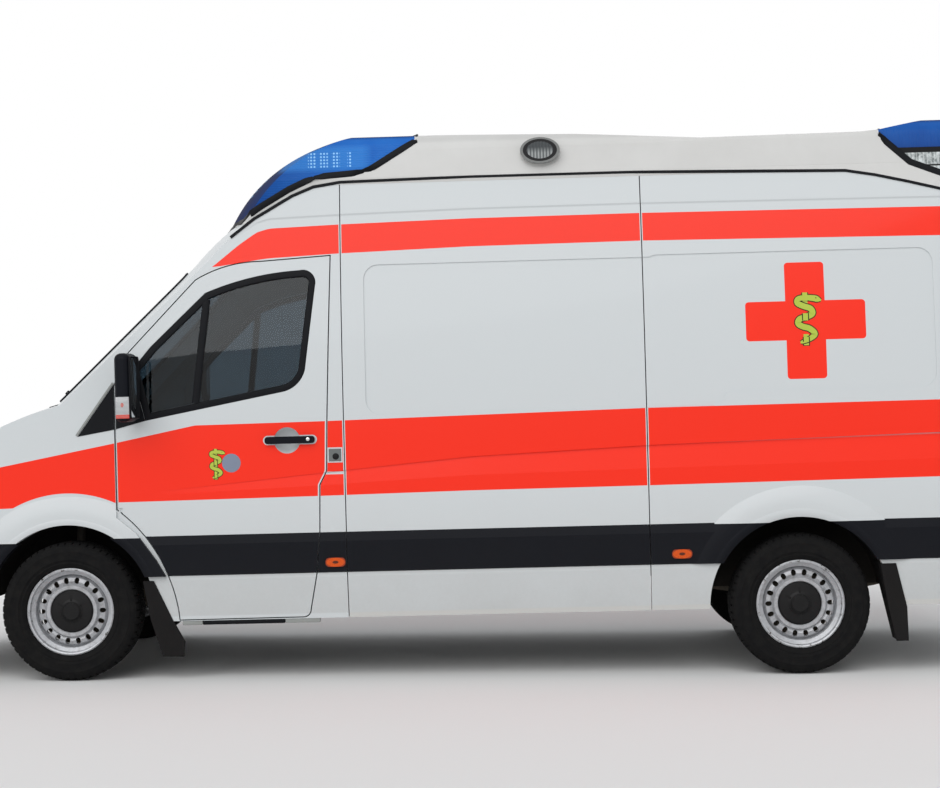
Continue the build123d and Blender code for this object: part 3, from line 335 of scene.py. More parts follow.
def net(rows, size, around, loops=True):
    """Faces between rows of points: around joins the last row to the first, loops does so in each row."""
    faces = []
    for row in range(rows if around else rows - 1):
        here, there = row * size, (row + 1) % rows * size
        for index in range(size if loops else size - 1):
            after = (index + 1) % size
            faces.append((here + index, here + after, there + after, there + index))
    return faces


def lathe(profile, centre, count, axis=1, closed=True):
    """A ring or disc: a profile of (along the axis, radius) turned about an axis through a centre."""
    first, second = [index for index in range(3) if index != axis]
    points = []
    for turn in range(count):
        angle = 2 * math.pi * turn / count
        for along, radius in profile:
            point = list(centre)
            point[axis] += along
            point[first] += radius * math.cos(angle)
            point[second] += radius * math.sin(angle)
            points.append(tuple(point))
    return points, net(count, len(profile), True, closed)


# Tyres. Black rubber on each rim, with ribbed side walls and a blocky tread. The tread's pitches are
# moulded alike, so one is shaped here and set round the carcass.
TREAD_PITCHES = 58
TREAD_DEPTH = 0.0085
EASED_SHARE, LEAN_WIDTH = 0.05, 0.03
CROWN_ACROSS, CROWN_RADIUS = (0.0, 0.06, 0.0855, 0.0975, 0.1045), (0.3497, 0.3485, 0.3466, 0.3432, 0.333)
SIDE_WALL = [
    (0.08, 0.2106), (0.0903, 0.2124), (0.0903, 0.2226), (0.0995, 0.2246), (0.104, 0.23), (0.1085, 0.24),
    (0.112, 0.244), (0.1122, 0.2475), (0.1108, 0.25), (0.114, 0.26), (0.116, 0.262), (0.1162, 0.264),
    (0.1155, 0.266), (0.1185, 0.285), (0.1172, 0.302), (0.118, 0.3036), (0.1166, 0.306), (0.114, 0.315),
    (0.109, 0.326), (0.103, 0.333), (0.096, 0.3375), (0.08, 0.3398), (0.04, 0.3412), (0.0, 0.3416)]
INNER_WALL = [(0.0, 0.331), (0.0835, 0.329), (0.0985, 0.28), (0.07, 0.242)]
carcass = (SIDE_WALL + [(-a, r) for a, r in reversed(SIDE_WALL[:-1])]
           + [(-a, r) for a, r in reversed(INNER_WALL)] + INNER_WALL[1:])


def tread_block(turn_low, turn_high, across_low, across_high, lean):
    """One block of a pitch: turns are shares of a pitch, and lean skews its ends."""
    steps = np.linspace(across_low, across_high, 4)
    points = []
    for across in steps:
        shift = lean * (across - steps[0]) / LEAN_WIDTH
        crown = float(np.interp(abs(across), CROWN_ACROSS, CROWN_RADIUS))
        for turn, sunk in ((turn_low, TREAD_DEPTH), (turn_low + EASED_SHARE, 0), (turn_high - EASED_SHARE, 0),
                           (turn_high, TREAD_DEPTH)):
            angle = (turn + shift) * 2 * math.pi / TREAD_PITCHES
            points.append(((crown - sunk) * math.sin(angle), across, (crown - sunk) * math.cos(angle)))
    return points, net(4, 4, False) + [(0, 1, 2, 3), (15, 14, 13, 12)]


pitch_blocks = [tread_block(*one) for one in (
    (0.06, 0.9, 0.068, 0.1045, 0.05), (0.46, 1.3, -0.1045, -0.068, 0.05), (0.0, 0.44, 0.034, 0.062, 0.3),
    (0.5, 0.94, 0.034, 0.062, 0.3), (0.2, 0.64, -0.062, -0.034, 0.3), (0.7, 1.14, -0.062, -0.034, 0.3),
    (0.02, 0.97, -0.027, -0.003, 0.22), (0.3, 1.25, 0.003, 0.027, -0.22))]


def copies_tree():
    """Geometry nodes that set copies of a shape along Y at a spacing, or share turns about Y among them."""
    tree = bpy.data.node_groups.new("copies", "GeometryNodeTree")
    kinds = {"Shape": "Geometry", "Count": "Int", "Spacing": "Float", "Turns": "Float", "Finish": "Material"}
    found = {label: tree.interface.new_socket(label, in_out="INPUT", socket_type="NodeSocket" + kind).identifier
             for label, kind in kinds.items()}
    tree.interface.new_socket("Copies", in_out="OUTPUT", socket_type="NodeSocketGeometry")
    shape, count, spacing, turns, finish = tree.nodes.new("NodeGroupInput").outputs[:len(kinds)]
    index = add(tree, "GeometryNodeInputIndex")
    shift = (index - (Value(count) - 1) * 0.5) * spacing
    spots = Value(count).then("GeometryNodePoints", add(tree, "ShaderNodeCombineXYZ", 0.0, shift, 0.0))
    angle = (index * (2 * math.pi)).math("DIVIDE", count) * turns
    turned = add(tree, "ShaderNodeCombineXYZ", 0.0, angle, 0.0)
    copies = spots.then("GeometryNodeInstanceOnPoints", None, shape, None, None, turned)
    coated = copies.then("GeometryNodeRealizeInstances").then("GeometryNodeSetMaterial", None, finish)
    feed(tree.nodes.new("NodeGroupOutput").inputs[0], coated)
    return tree, found


def work_out(holder):
    """Puts an object's modifiers into its mesh."""
    made = bpy.data.meshes.new_from_object(holder.evaluated_get(bpy.context.evaluated_depsgraph_get()))
    holder.modifiers.clear()
    holder.data = made
    return made


def plain_shell(mesh):
    return [tuple(vertex.co) for vertex in mesh.vertices], [tuple(face.vertices) for face in mesh.polygons]


copies, copies_sockets = copies_tree()


def grown(name, shells, **values):
    """Shells copied by the geometry nodes, as plain points and faces."""
    holder = new_object(name, *joined(shells))
    steps = holder.modifiers.new(name, "NODES")
    steps.node_group = copies
    for key, value in values.items():
        steps[copies_sockets[key]] = value
    made = work_out(holder)
    bpy.data.objects.remove(holder)
    return plain_shell(made)


coat = Finish("tyre_rubber", 0.8, Specular_IOR_Level=0.08)
worn = coat.place.noise(25, 6, 0.65).ramp(0.35, 0.75, 0, 1)
coat.relief(use(grain, coat.place, 500.0)[0], 0.0003)
rubber = coat.send(Base_Color=worn.blend((0.0065, 0.0065, 0.007), (0.012, 0.0115, 0.011)))
tread = grown("tread", pitch_blocks, Count=TREAD_PITCHES, Spacing=0.0, Turns=1.0, Finish=rubber)
for end, hub_x in ENDS:
    for side, name in SIDES:
        shells = [([(x + hub_x, y + side * HUB_Y, z + HUB_Z) for x, y, z in points], faces)
                  for points, faces in (lathe(carcass, (0, 0, 0), 120), tread)]
        tyre = piece(f"{end}_{name}_rubber_tyre", shells, rubber, "tyre_rubber", f"{end}_{name}_road_wheel",
                     40, False)
        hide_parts(f"{end}_{name}_tyre")

# Brake shields. A plate pressed from steel with a rolled edge stands behind each wheel and darkens its
# holes. The front ones are bolted to the knuckles and steer with them.
BRAKE_PLATE = [(-0.006, 0.034), (-0.006, 0.16), (0.008, 0.168), (0.01, 0.166), (-0.003, 0.157), (-0.003, 0.034)]
for end, hub_x in ENDS:
    for side, name in SIDES:
        profile = [(side * out, radius) for out, radius in BRAKE_PLATE]
        shield = lathe(profile, (hub_x, side * HUB_Y, HUB_Z), 64)
        piece(f"{end}_{name}_brake_shield", [shield], waxed_steel, "chassis_paint",
              f"{name}_steering_knuckle" if end == "front" else "body", tilted=False)

# Floors, lining and the wall behind the cab. The floors are ply under a hard grey covering, and the
# walls of the load space are lined with off-white boards.
covering = plastic("floor_covering", (0.1, 0.105, 0.11), 0.7, 120, 0.0006, 0.0)
LINING = (0.55, 0.55, 0.53)
lining = plastic("lining_panel", LINING, 0.55, 200, 0.0002, 0.0, 1.1)
give(covering, "load_floor", "cab_floor")
give(lining, "bulkhead")

# Cab fittings. Soft-grained black dashboard with its instrument hood, vents and middle console, steering
# column and wheel, and the two seat plinths.
cab_plastic = plastic("cab_plastic", (0.022, 0.022, 0.025), 0.6, 800, 0.0003, 0.0)
give(cab_plastic, "dashboard", "steering_column", "steering_wheel", "seat_frames")


def rounded_box(x, y, z, radius, turns, angle=0.0):
    """A box from its ranges, its edges rounded, turned about Y through its middle by degrees."""
    shape = bmesh.new()
    size = [pair[1] - pair[0] for pair in (x, y, z)]
    middle = Vector([sum(pair) / 2 for pair in (x, y, z)])
    bmesh.ops.create_cube(shape, size=1.0, matrix=Matrix.Diagonal(size + [1]))
    bmesh.ops.bevel(shape, geom=shape.edges[:], offset=radius, segments=turns, profile=0.5, affect="EDGES")
    turn = Matrix.Rotation(math.radians(angle), 3, "Y")
    points = [tuple(middle + turn @ vertex.co) for vertex in shape.verts]
    faces = [tuple(vertex.index for vertex in face.verts) for face in shape.faces]
    shape.free()
    return points, faces


fittings = [rounded_box(*one) for one in (
    ((-1.8, -1.545), (-0.62, -0.22), (1.215, 1.315), 0.035, 4, 8),
    ((-1.66, -1.515), (-0.15, 0.15), (0.9, 1.235), 0.02, 3, -6),
    ((-1.575, -1.535), (0.28, 0.74), (0.975, 1.09), 0.015, 3, -6),
    ((-1.47, -1.43), (-0.045, -0.015), (1.02, 1.16), 0.012, 3, 20),
    ((-1.52, -1.43), (-0.06, 0.0), (0.985, 1.03), 0.01, 3, 0))]
piece("dashboard_fittings", fittings, cab_plastic, "cab_plastic")
vent_black = plastic("vent_black", (0.012, 0.012, 0.013), 0.4, 900, 0.0001, 0.0)
slats = [rounded_box((-1.572, -1.54), (middle - 0.05, middle + 0.05), (1.13 + rise, 1.134 + rise), 0.0015, 1, 20)
         for middle in (-0.095, 0.095, -0.78, 0.78) for rise in 0.013 * np.arange(5)]
piece("air_vents", slats, vent_black, "cab_plastic")

# Seats. Each has a foam cushion, back and headrest in dark woven cloth with sewn channels, on a plinth;
# the headrest stands on two steel posts.
SEAT_Y, CHANNEL_Y = 0.42, 0.148
CLOTH_STEPS, SWELL_MOST = 20, 0.024
SEAM_DEPTH, SEAM_HALF = 0.007, 0.006
coat = Finish("seat_cloth", 0.85, Sheen_Weight=0.25)
threads = [part.wave(0.0035) for part in (coat.along, coat.across, coat.height)]
coat.relief((threads[0] + threads[2]) * 0.2 + (threads[1] * 0.2 + 0.5), 0.0006)
mottle = coat.place.noise(220, 3, 0.7)
inner_cloth = mottle.blend((0.018, 0.022, 0.034), (0.055, 0.062, 0.085))
edge_cloth = mottle.blend((0.01, 0.01, 0.012), (0.028, 0.028, 0.031))
plain_edge = abs(abs(coat.across) - SEAT_Y).over(CHANNEL_Y, 0.002)
seat_cloth = coat.send(Base_Color=plain_edge.blend(inner_cloth, edge_cloth))


def stuffed(size, corner, channels):
    """A foam form swelling under its cover: half a size in metres, then its sewn channels pressed in."""
    foam = new_object("foam", *rounded_box(*[(-half, half) for half in size], corner, 4))
    remesh = foam.modifiers.new("even", "REMESH")
    remesh.mode, remesh.voxel_size = "VOXEL", 0.01
    taken = work_out(foam)
    start = [vertex.co.copy() for vertex in taken.vertices]
    cloth = foam.modifiers.new("cover", "CLOTH")
    cloth.settings.use_pressure = True
    cloth.settings.uniform_pressure_force = 4.0
    cloth.settings.effector_weights.gravity = 0.0
    cloth.point_cache.frame_end = CLOTH_STEPS
    for step in range(1, CLOTH_STEPS + 1):
        scene.frame_set(step)
    taken = work_out(foam)
    scene.frame_set(1)
    for vertex, before in zip(taken.vertices, start):
        moved = vertex.co - before
        if moved.length > SWELL_MOST:
            vertex.co = before + moved * (SWELL_MOST / moved.length)
    smoother = foam.modifiers.new("smoother", "SUBSURF")
    smoother.levels = smoother.render_levels = 1
    taken = work_out(foam)
    bpy.data.objects.remove(foam)
    sewn = [tuple(v.co - v.normal * sum(SEAM_DEPTH * math.exp(-(channel(v.co) / SEAM_HALF) ** 2)
                                        for channel in channels)) for v in taken.vertices]
    return sewn, plain_shell(taken)[1]


def beside(co):
    return abs(co.y) - CHANNEL_Y


def channel_across(axis, place):
    """A channel between the side ones, at a place along an axis."""
    return lambda co: co[axis] + place if abs(co.y) < CHANNEL_Y else 1.0


forms = {
    "cushion": (stuffed((0.25, 0.225, 0.052), 0.035, [beside, channel_across(0, -0.03)]), (-0.89, 0.865), 0),
    "back": (stuffed((0.048, 0.215, 0.3), 0.035, [beside, channel_across(2, 0.05)]), (-0.62, 1.2), 12),
    "headrest": (stuffed((0.034, 0.118, 0.083), 0.028, [lambda co: co.x - 0.004]), (-0.545, 1.612), 12),
}
for side, name in ((-1, "driver"), (1, "passenger")):
    for part, ((points, faces), (x, z), lean) in forms.items():
        turn = Matrix.Rotation(math.radians(lean), 3, "Y")
        moved = [tuple(turn @ Vector(p) + Vector((x, side * SEAT_Y, z))) for p in points]
        pad = piece(f"{name}_{part}", [(moved, faces)], seat_cloth, "seat_fabric", sharp=80)
        if part == "cushion":
            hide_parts(f"{name}_seat")
bright_steel = plastic("bright_steel", (0.55, 0.55, 0.56), 0.25, 400, 0.0001, 0.0, 1.1, 0.9)
POST_X, POST_APART, POST_Z, POST_LEAN = -0.556, 0.06, 1.47, 0.18
POST = [(0, 0.0004), (0, 0.006), (0.085, 0.006), (0.085, 0.0004)]
posts = []
for y in (-SEAT_Y - POST_APART, -SEAT_Y + POST_APART, SEAT_Y - POST_APART, SEAT_Y + POST_APART):
    points, faces = lathe(POST, (POST_X, y, POST_Z), 16, 2, False)
    posts.append(([(x + POST_LEAN * (z - POST_Z), y, z) for x, y, z in points], faces))
piece("headrest_posts", posts, bright_steel, "wheel_steel")

# Painted body. Pressed steel in white two-pack paint, with bands of red-orange film cut a little short of every joint,
# a soft fold pressed above the upper band with painted shade along its line, off-white lining boards inside and road
# dust low down.
WHITE = (0.6, 0.63, 0.64)
FILM = (0.93, 0.025, 0.006)
SEAMS = (-0.543, 0.972, 2.69)
WING_SEAM, LOW_SEAM_HEIGHT = -1.695, 1.0175
ARCH_FILM_RADIUS = 0.597
RECESS, RECESS_RADIUS = (-0.829, 1.186), 0.0655
HANDLE_X, HANDLE_Z, HANDLE_HALF, HANDLE_RADIUS = -0.814, 1.188, 0.112, 0.0235
FOLD_RISE, FOLD_HALF = 0.047, 0.008
FILM_DEPTH, PAINT_DEPTH = 0.0125, 0.03
UPPER_TOP = [(-1.194, 2.066), (-1.058, 2.175), (-0.965, 2.238), (-0.902, 2.256), (-0.542, 2.267), (0.115, 2.279),
             (0.964, 2.281), (2.9, 2.268)]
UPPER_LOW = [(-1.24, 2.066), (-1.161, 2.07), (-0.949, 2.099), (-0.903, 2.104), (-0.551, 2.119), (0.111, 2.136),
             (0.969, 2.14), (2.9, 2.12)]
MIDDLE_TOP = [(-2.9, 0.975), (-2.281, 1.088), (-1.704, 1.193), (-1.291, 1.273), (-0.635, 1.278), (0.091, 1.289),
              (0.973, 1.302), (2.9, 1.308)]
MIDDLE_LOW = [(-2.281, 0.876), (-1.682, 0.896), (-0.675, 0.904), (0.081, 0.913), (0.978, 0.916), (2.9, 0.928)]
DOOR_BACK = [(0.3, -0.743), (0.52, -0.698), (0.724, -0.679), (0.96, -0.673), (1.03, -0.637), (1.26, -0.63),
             (2.107, -0.597)]
HALF_WIDTH = 0.985
LEAN_FROM, LEAN_ROUND = 1.23, 13.142
TAPER_FROM, TAPER_ROUND = -1.25, 26.536


def curve(value, points, span=(-3, 3), rise=(0, 3)):
    """A line through points, in metres, as a function of a value."""
    scaled = [((a - span[0]) / (span[1] - span[0]), (b - rise[0]) / (rise[1] - rise[0])) for a, b in points]
    scaled = [(0.0, scaled[0][1]), *scaled, (1.0, scaled[-1][1])]
    made = add(value.tree, "ShaderNodeFloatCurve", None, value.ramp(*span, 0, 1))
    mapping = made.socket.node.mapping
    line = mapping.curves[0]
    line.points[0].location, line.points[1].location = scaled[0], scaled[-1]
    for place in scaled[1:-1]:
        line.points.new(*place)
    for point in line.points:
        point.handle_type = "VECTOR"
    mapping.update()
    return made.ramp(0, 1, *rise)


bands, (x, y, z, border), ends = group("film_bands", ("Film", "Fold_And_Shade", "Outside"), Along=None, Across=None,
                                       Height=None, Border=0.0068)
upper_top = curve(x, UPPER_TOP)
upper = z.under(upper_top) * z.over(curve(x, UPPER_LOW)) * x.over(-1.2)
middle = z.under(curve(x, MIDDLE_TOP)) * z.over(curve(x, MIDDLE_LOW)) * x.far(z, (HUB_X, HUB_Z)).over(ARCH_FILM_RADIUS)
film = upper | middle
door_back = curve(z, DOOR_BACK, (0, 3), (-3, 3))
for seam in SEAMS:
    film *= abs(x - seam).over(border)
film *= abs(x - WING_SEAM).over(border) | z.over(1.6)
film *= abs(x - door_back).over(border) | z.over(2.09)
film *= abs(z - LOW_SEAM_HEIGHT).over(border) | x.over(SEAMS[0]) | x.under(door_back)
film *= x.far(z, RECESS).over(RECESS_RADIUS)
film *= ((abs(x - HANDLE_X) - HANDLE_HALF) | 0.0).far(z, (0.0, HANDLE_Z)).over(HANDLE_RADIUS)


def block(centre, half, corner):
    """1 inside a rectangle with rounded corners."""
    across, up = [(abs(value - middle) - (reach - corner)) | 0.0
                  for value, middle, reach in zip((x, z), centre, half)]
    return across.far(up).under(corner)


CROSS_MIDDLE = (1.774, 1.717)
film = film | block(CROSS_MIDDLE, (0.2975, 0.098), 0.018) | block(CROSS_MIDDLE, (0.098, 0.291), 0.018)
lean_in = ((z - LEAN_FROM) | 0.0) ** 2 * (1 / LEAN_ROUND)
taper_in = ((TAPER_FROM - x) | 0.0) ** 2 * (1 / TAPER_ROUND)
inward = HALF_WIDTH - lean_in - taper_in - abs(y)
feed(ends[0], film * inward.under(FILM_DEPTH))
# The fold's mask: the paint presses it in as bump and darkens it as painted shade of the crease.
feed(ends[1], abs(z - (upper_top + FOLD_RISE)).ramp(0, FOLD_HALF, 1, 0) * x.over(-1.0, 0.15))
feed(ends[2], inward.under(PAINT_DEPTH))


def paint(name, film_of, inside=WHITE):
    """White paint under a clear coat, with film where film_of says and painted shade along the fold."""
    made = Finish(name, Coat_Roughness=0.06, Specular_IOR_Level=0.2)
    film, fold_and_shade, outside = film_of(made)
    dirt = use(dust, made.place, made.height, 0.9)[0]
    # The grey along the fold is painted shade of its crease; the relief below presses the fold in.
    base = layered(WHITE, (film, FILM), (fold_and_shade * 0.35, (0.25, 0.26, 0.27)), (dirt * 0.38, DIRT))
    made.relief(made.place.noise(2.5, 2, 0.5) * 0.25 - fold_and_shade, 0.0016)
    return made.send(Base_Color=outside.blend(inside, base), Roughness=dirt.ramp(0, 1, 0.3, 0.75),
                     Coat_Weight=outside * 0.14)


def side_film(made):
    return use(bands, made.along, made.across, made.height)


def bonnet_film(made):
    edge = curve(made.along, [(-2.9, 0.575), (-2.7, 0.628), (-2.1, 0.758), (-1.9, 0.76)])
    on_top = abs(made.across).under(edge)
    return on_top * made.height.over(1.01), on_top * 0.0, made.height.over(0.0)


def no_film(made):
    none = made.along * 0.0
    return none, none, none + 1.0


panel_paint = paint("panel_paint", side_film, LINING)
cab_paint = paint("cab_paint", side_film)
bonnet_paint = paint("bonnet_paint", bonnet_film)
plain_paint = paint("plain_paint", no_film)
give(panel_paint, "left_side_panel", "left_rear_panel", "right_rear_panel", "right_sliding_door")
give(cab_paint, "cab_frame", "front_wings", "left_front_door", "right_front_door", "rear_frame")
give(bonnet_paint, "bonnet")
give(plain_paint, "left_rear_door", "right_rear_door", "roof_panel")

# Black trim. Bumpers, rub strips, grille, mirror housings and door handles are grained plastic, faded by
# weather, and the flaps behind the wheels are rubber sheet.
trim_plastic = plastic("trim_plastic", (0.005, 0.0058, 0.0085), 0.45, 700, 0.0003, 0.03)
flap_rubber = plastic("flap_rubber", (0.007, 0.007, 0.008), 0.75, 250, 0.0004, 0.06)
liner_felt = plastic("liner_felt", (0.006, 0.006, 0.0065), 0.85, 400, 0.0006, 0.15)
give(trim_plastic, "rub_strips", "grille", "front_bumper", "rear_bumper", "left_mirror", "right_mirror", "fuel_tank")
give(flap_rubber, "mud_flaps")
give(liner_felt, "wheel_arch_liners")

# Glass. The cab has clear, lightly tinted panes and the load space frosted ones, cut from curved safety
# glass and bonded in or set in rubber.


def pane(name, colour, rough):
    made = Finish(name, Transmission_Weight=0.6 if rough else 1.0, IOR=1.35, Specular_IOR_Level=0.35)
    smear = made.place.noise(6, 5, 0.6)
    return made.send(Roughness=smear.ramp(0.3, 0.8, rough, rough + 0.03),
                     Base_Color=smear.blend(colour, [k * 0.85 for k in colour]))


give(pane("clear_glass", (0.15, 0.2, 0.235), 0.0), "windscreen", "left_door_glass", "right_door_glass")
give(pane("frosted_glass", (0.62, 0.68, 0.72), 0.45), "sliding_door_glass", "left_rear_door_glass",
     "right_rear_door_glass")

# Window frames. Black rubber round each cab window, its division bar, and the small panel ahead of it that
# carries the mirror; the same black goes on over the wing as a triangle under a grey strip.
SILL_TOP, SILL_LEAN = 0.5, 0.162


def side_y(x, z):
    """Half width of the body's skin at a place in the level drawing."""
    return (HALF_WIDTH - max(z - LEAN_FROM, 0) ** 2 / LEAN_ROUND - max(TAPER_FROM - x, 0) ** 2 / TAPER_ROUND
            - max(SILL_TOP - z, 0) * SILL_LEAN)


def on_side(x, z, side, lift=0.0):
    return Vector((x, side * (side_y(x, z) + lift), z))


def even(points, step=0.04, closed=False):
    """Points put in between, so that a straight stretch bends with the surface under it."""
    made = []
    for a, b in zip(points, points[1:] + points[:1] if closed else points[1:]):
        a, b = Vector(a), Vector(b)
        count = max(1, round((b - a).length / step))
        made += [a.lerp(b, index / count) for index in range(count)]
    return made if closed else made + [Vector(points[-1])]


def arc(a, b, c, count=6):
    """Points on the round line from a through b to c, without its last."""
    a, b, c = complex(*a), complex(*b), complex(*c)
    ratio = (c - a) / (b - a)
    middle = a + (b - a) * (ratio - abs(ratio) ** 2) / (2j * ratio.imag)
    angles = np.unwrap(np.angle([a - middle, b - middle, c - middle]))
    turns = np.linspace(angles[0], angles[2], count + 1)[:-1]
    return [(middle.real + abs(a - middle) * math.cos(t), middle.imag + abs(a - middle) * math.sin(t))
            for t in turns]


def bead(path, outward, section, closed=True):
    """A strip swept along a path on a surface: each point of its section is (inward, up)."""
    count = len(path)
    middle = sum(path, Vector((0, 0, 0))) / count
    rings = []
    for index, place in enumerate(path):
        before = place - path[index - 1] if closed or index else path[1] - place
        after = path[(index + 1) % count] - place if closed or index < count - 1 else before
        up = outward[index]
        if closed or 0 < index < count - 1:
            up = (outward[index - 1] + up * 2 + outward[(index + 1) % count]).normalized()
        first, second = up.cross(before).normalized(), up.cross(after).normalized()
        sideways = (first + second).normalized()
        sideways /= max(sideways.dot(first), 0.6)
        rings.append((place, sideways, up))
    if closed and sum((middle - place).dot(sideways) for place, sideways, _ in rings) < 0:
        rings = [(place, -sideways, up) for place, sideways, up in rings]
    points = [tuple(place + sideways * across + up * rise)
              for place, sideways, up in rings for across, rise in section]
    size, faces = len(section), net(count, len(section), closed)
    if not closed:
        faces += [tuple(range(size)), tuple(range((count - 1) * size, count * size))]
    return points, faces


def side_bead(points, section, side, closed=True):
    outward = [Vector((0, side, max(z - LEAN_FROM, 0) * 2 / LEAN_ROUND)).normalized() for _, z in points]
    return bead([on_side(x, z, side) for x, z in points], outward, section, closed)


def plate(outline, low, high, side, edge):
    """A flat piece on the body's side, between two lifts off its skin, its rim eased by an edge."""
    loop = even(outline, 0.05, True)
    middle = sum(loop, Vector((0, 0))) / len(loop)
    inner = [place + (middle - place).normalized() * edge for place in loop]
    rings = [(loop, low), (loop, high - edge), (inner, high)]
    points = [tuple(on_side(x, z, side, lift)) for ring, lift in rings for x, z in ring]
    count = len(loop)
    return points, [tuple(range(count)), tuple(range(2 * count, 3 * count))] + net(3, count, False)


WINDOW = even([(-1.541, 1.302), *arc((-0.848, 1.429), (-0.762, 1.477), (-0.73, 1.54)), (-0.73, 1.54),
               *arc((-0.672, 1.96), (-0.688, 2.022), (-0.75, 2.04)),
               *arc((-0.75, 2.04), (-1.02, 2.004), (-1.228, 1.938)), (-1.228, 1.938), (-1.509, 1.673),
               (-1.605, 1.56)], 0.04, True)
FRAME_SECTION = [(0.0006, -0.0118), (0.0006, -0.0015), (0.0035, -0.0005), (0.03, -0.0025), (0.034, -0.006),
                 (0.035, -0.0118)]
BAR_SECTION = [(-0.019, -0.0118), (-0.018, -0.0045), (-0.014, -0.0025), (0.014, -0.0025), (0.018, -0.0045),
               (0.019, -0.0118)]
STRIP_SECTION = [(-0.006, 0.0003), (-0.005, 0.0045), (0.005, 0.0045), (0.006, 0.0003)]
SAIL = [(-1.541, 1.302), (-1.6905, 1.264), (-1.6905, 1.484), (-1.607, 1.562)]
TRIANGLE = [(-1.887, 1.231), (-1.699, 1.262), (-1.699, 1.487)]
window_rubber = plastic("window_rubber", (0.006, 0.0065, 0.008), 0.42, 500, 0.0002, 0.0)
grey_strip = plastic("grey_strip", (0.24, 0.25, 0.24), 0.5, 500, 0.0002, 0.0)
for side, name in SIDES:
    bar = side_bead(even([(-1.222, 1.905), (-1.286, 1.385)]), BAR_SECTION, side, False)
    shells = [side_bead(WINDOW, FRAME_SECTION, side), bar, plate(SAIL, 0.0003, 0.0035, side, 0.0015)]
    piece(f"{name}_window_frame", shells, window_rubber, body=f"{name}_door")
triangles = [plate(TRIANGLE, 0.0003, 0.003, side, 0.0015) for side, _ in SIDES]
piece("wing_triangles", triangles, window_rubber)
strip = even([(-1.893, 1.236), (-1.701, 1.497)])
strips = [side_bead(strip, STRIP_SECTION, side, False) for side, _ in SIDES]
piece("triangle_strips", strips, grey_strip)

# Mirrors. Each black housing holds a silvered glass behind, in a rubber rim, and a clear moulded lens with a
# painted red reflection along the lower end of its outer face.
HEAD_X, HEAD_Y, HEAD_Z = -1.604, 1.1225, 1.47
RIM_CORNER = [(0.06, 0.15), (0.0735, 0.1445), (0.078, 0.132)]
RIM_SECTION = [(-0.006, 0.0), (-0.004, 0.008), (0.001, 0.008), (0.003, 0.0)]
coat = Finish("mirror_silver", 0.04, 1.0)
mirror_silver = coat.send(Base_Color=coat.place.noise(30, 4, 0.6).blend((0.72, 0.74, 0.76), (0.62, 0.64, 0.66)))
coat = Finish("indicator_lens", 0.12, Coat_Weight=1.0)
ribs = coat.height.wave(0.006)
bulb = (coat.along * 1.4).far(coat.height, (-1.607 * 1.4, 1.385)).under(0.011, 0.003)
coat.relief(ribs, 0.0006)
# The red along the lens's lower end is a painted reflection.
indicator = coat.send(Base_Color=layered((0.3, 0.31, 0.32), (ribs.over(0.5, 0.8), (0.62, 0.63, 0.64)),
                                         (bulb, (0.5, 0.1, 0.08)), (coat.height.under(1.338), (0.62, 0.05, 0.03))))
rim = even([p for a, b in ((-1, -1), (-1, 1), (1, 1), (1, -1))
            for p in arc(*[(a * y, b * z) for y, z in RIM_CORNER[::a * b]])], 0.05, True)
shapes = {"glass": (rounded_box((0.0375, 0.0425), (-0.076, 0.076), (-0.148, 0.148), 0.002, 2), mirror_silver,
                    "clear_glass"),
          "rim": (bead([Vector((0.0375, *p)) for p in rim], [Vector((1, 0, 0))] * len(rim), RIM_SECTION),
                  window_rubber, "trim_plastic")}
for side, name in SIDES:
    turn = Matrix.Rotation(math.radians(side * 4), 3, "Z")
    for part, ((points, faces), finish, slot) in shapes.items():
        placed = [tuple(Vector((HEAD_X, side * HEAD_Y, HEAD_Z)) + turn @ Vector(p)) for p in points]
        piece(f"{name}_mirror_{part}", [(placed, faces)], finish, slot, f"{name}_door")
    lens = rounded_box((-1.64, -1.573), sorted((side * 1.2105, side * 1.217)), (1.318, 1.425), 0.003, 3)
    piece(f"{name}_mirror_lamp", [lens], indicator, "clear_lens", f"{name}_door")

# Door locks and the charging socket. A nickel key lock is at each handle's rear end. A flap closes the
# socket in the post behind the left door: grey moulding in a white surround, with a black hole.
SOCKET_X, SOCKET_Z = -0.59, 1.107
HOLE_X, HOLE_Z = -0.586, 1.1
nickel = plastic("nickel", (0.62, 0.62, 0.6), 0.28, 300, 0.0001, 0.0, 1.1, 0.9)
for side, name in SIDES:
    face = side * (side_y(-0.712, 1.188) + 0.0222)
    profile = [(0, 0.0003), (side * 0.0022, 0.0003), (side * 0.0022, 0.0065), (side * 0.0012, 0.009),
               (-side * 0.001, 0.0095), (-side * 0.001, 0.0003)]
    piece(f"{name}_key_lock", [lathe(profile, (-0.722, face, 1.19), 32)], nickel, "wheel_steel", f"{name}_door")


def socket_plate(half, low, high, edge):
    corners = [(SOCKET_X + a * half, SOCKET_Z + b * half) for a, b in ((-1, -1), (1, -1), (1, 1), (-1, 1))]
    return [plate(corners, low, high, -1, edge)]


socket_grey = plastic("socket_grey", (0.13, 0.14, 0.14), 0.5, 500, 0.0002, 0.0)
piece("socket_surround", socket_plate(0.038, 0.0003, 0.0018, 0.001), plain_paint, "white_paint")
piece("socket_flap", socket_plate(0.031, 0.0018, 0.006, 0.003), socket_grey)
socket_hole = lathe([(0, 0.0004), (-0.004, 0.0004), (-0.004, 0.013), (-0.002, 0.016), (0.002, 0.017), (0.002, 0.0004)],
                    (HOLE_X, -side_y(HOLE_X, HOLE_Z) - 0.0055, HOLE_Z), 32)
piece("socket_hole", [socket_hole], vent_black)

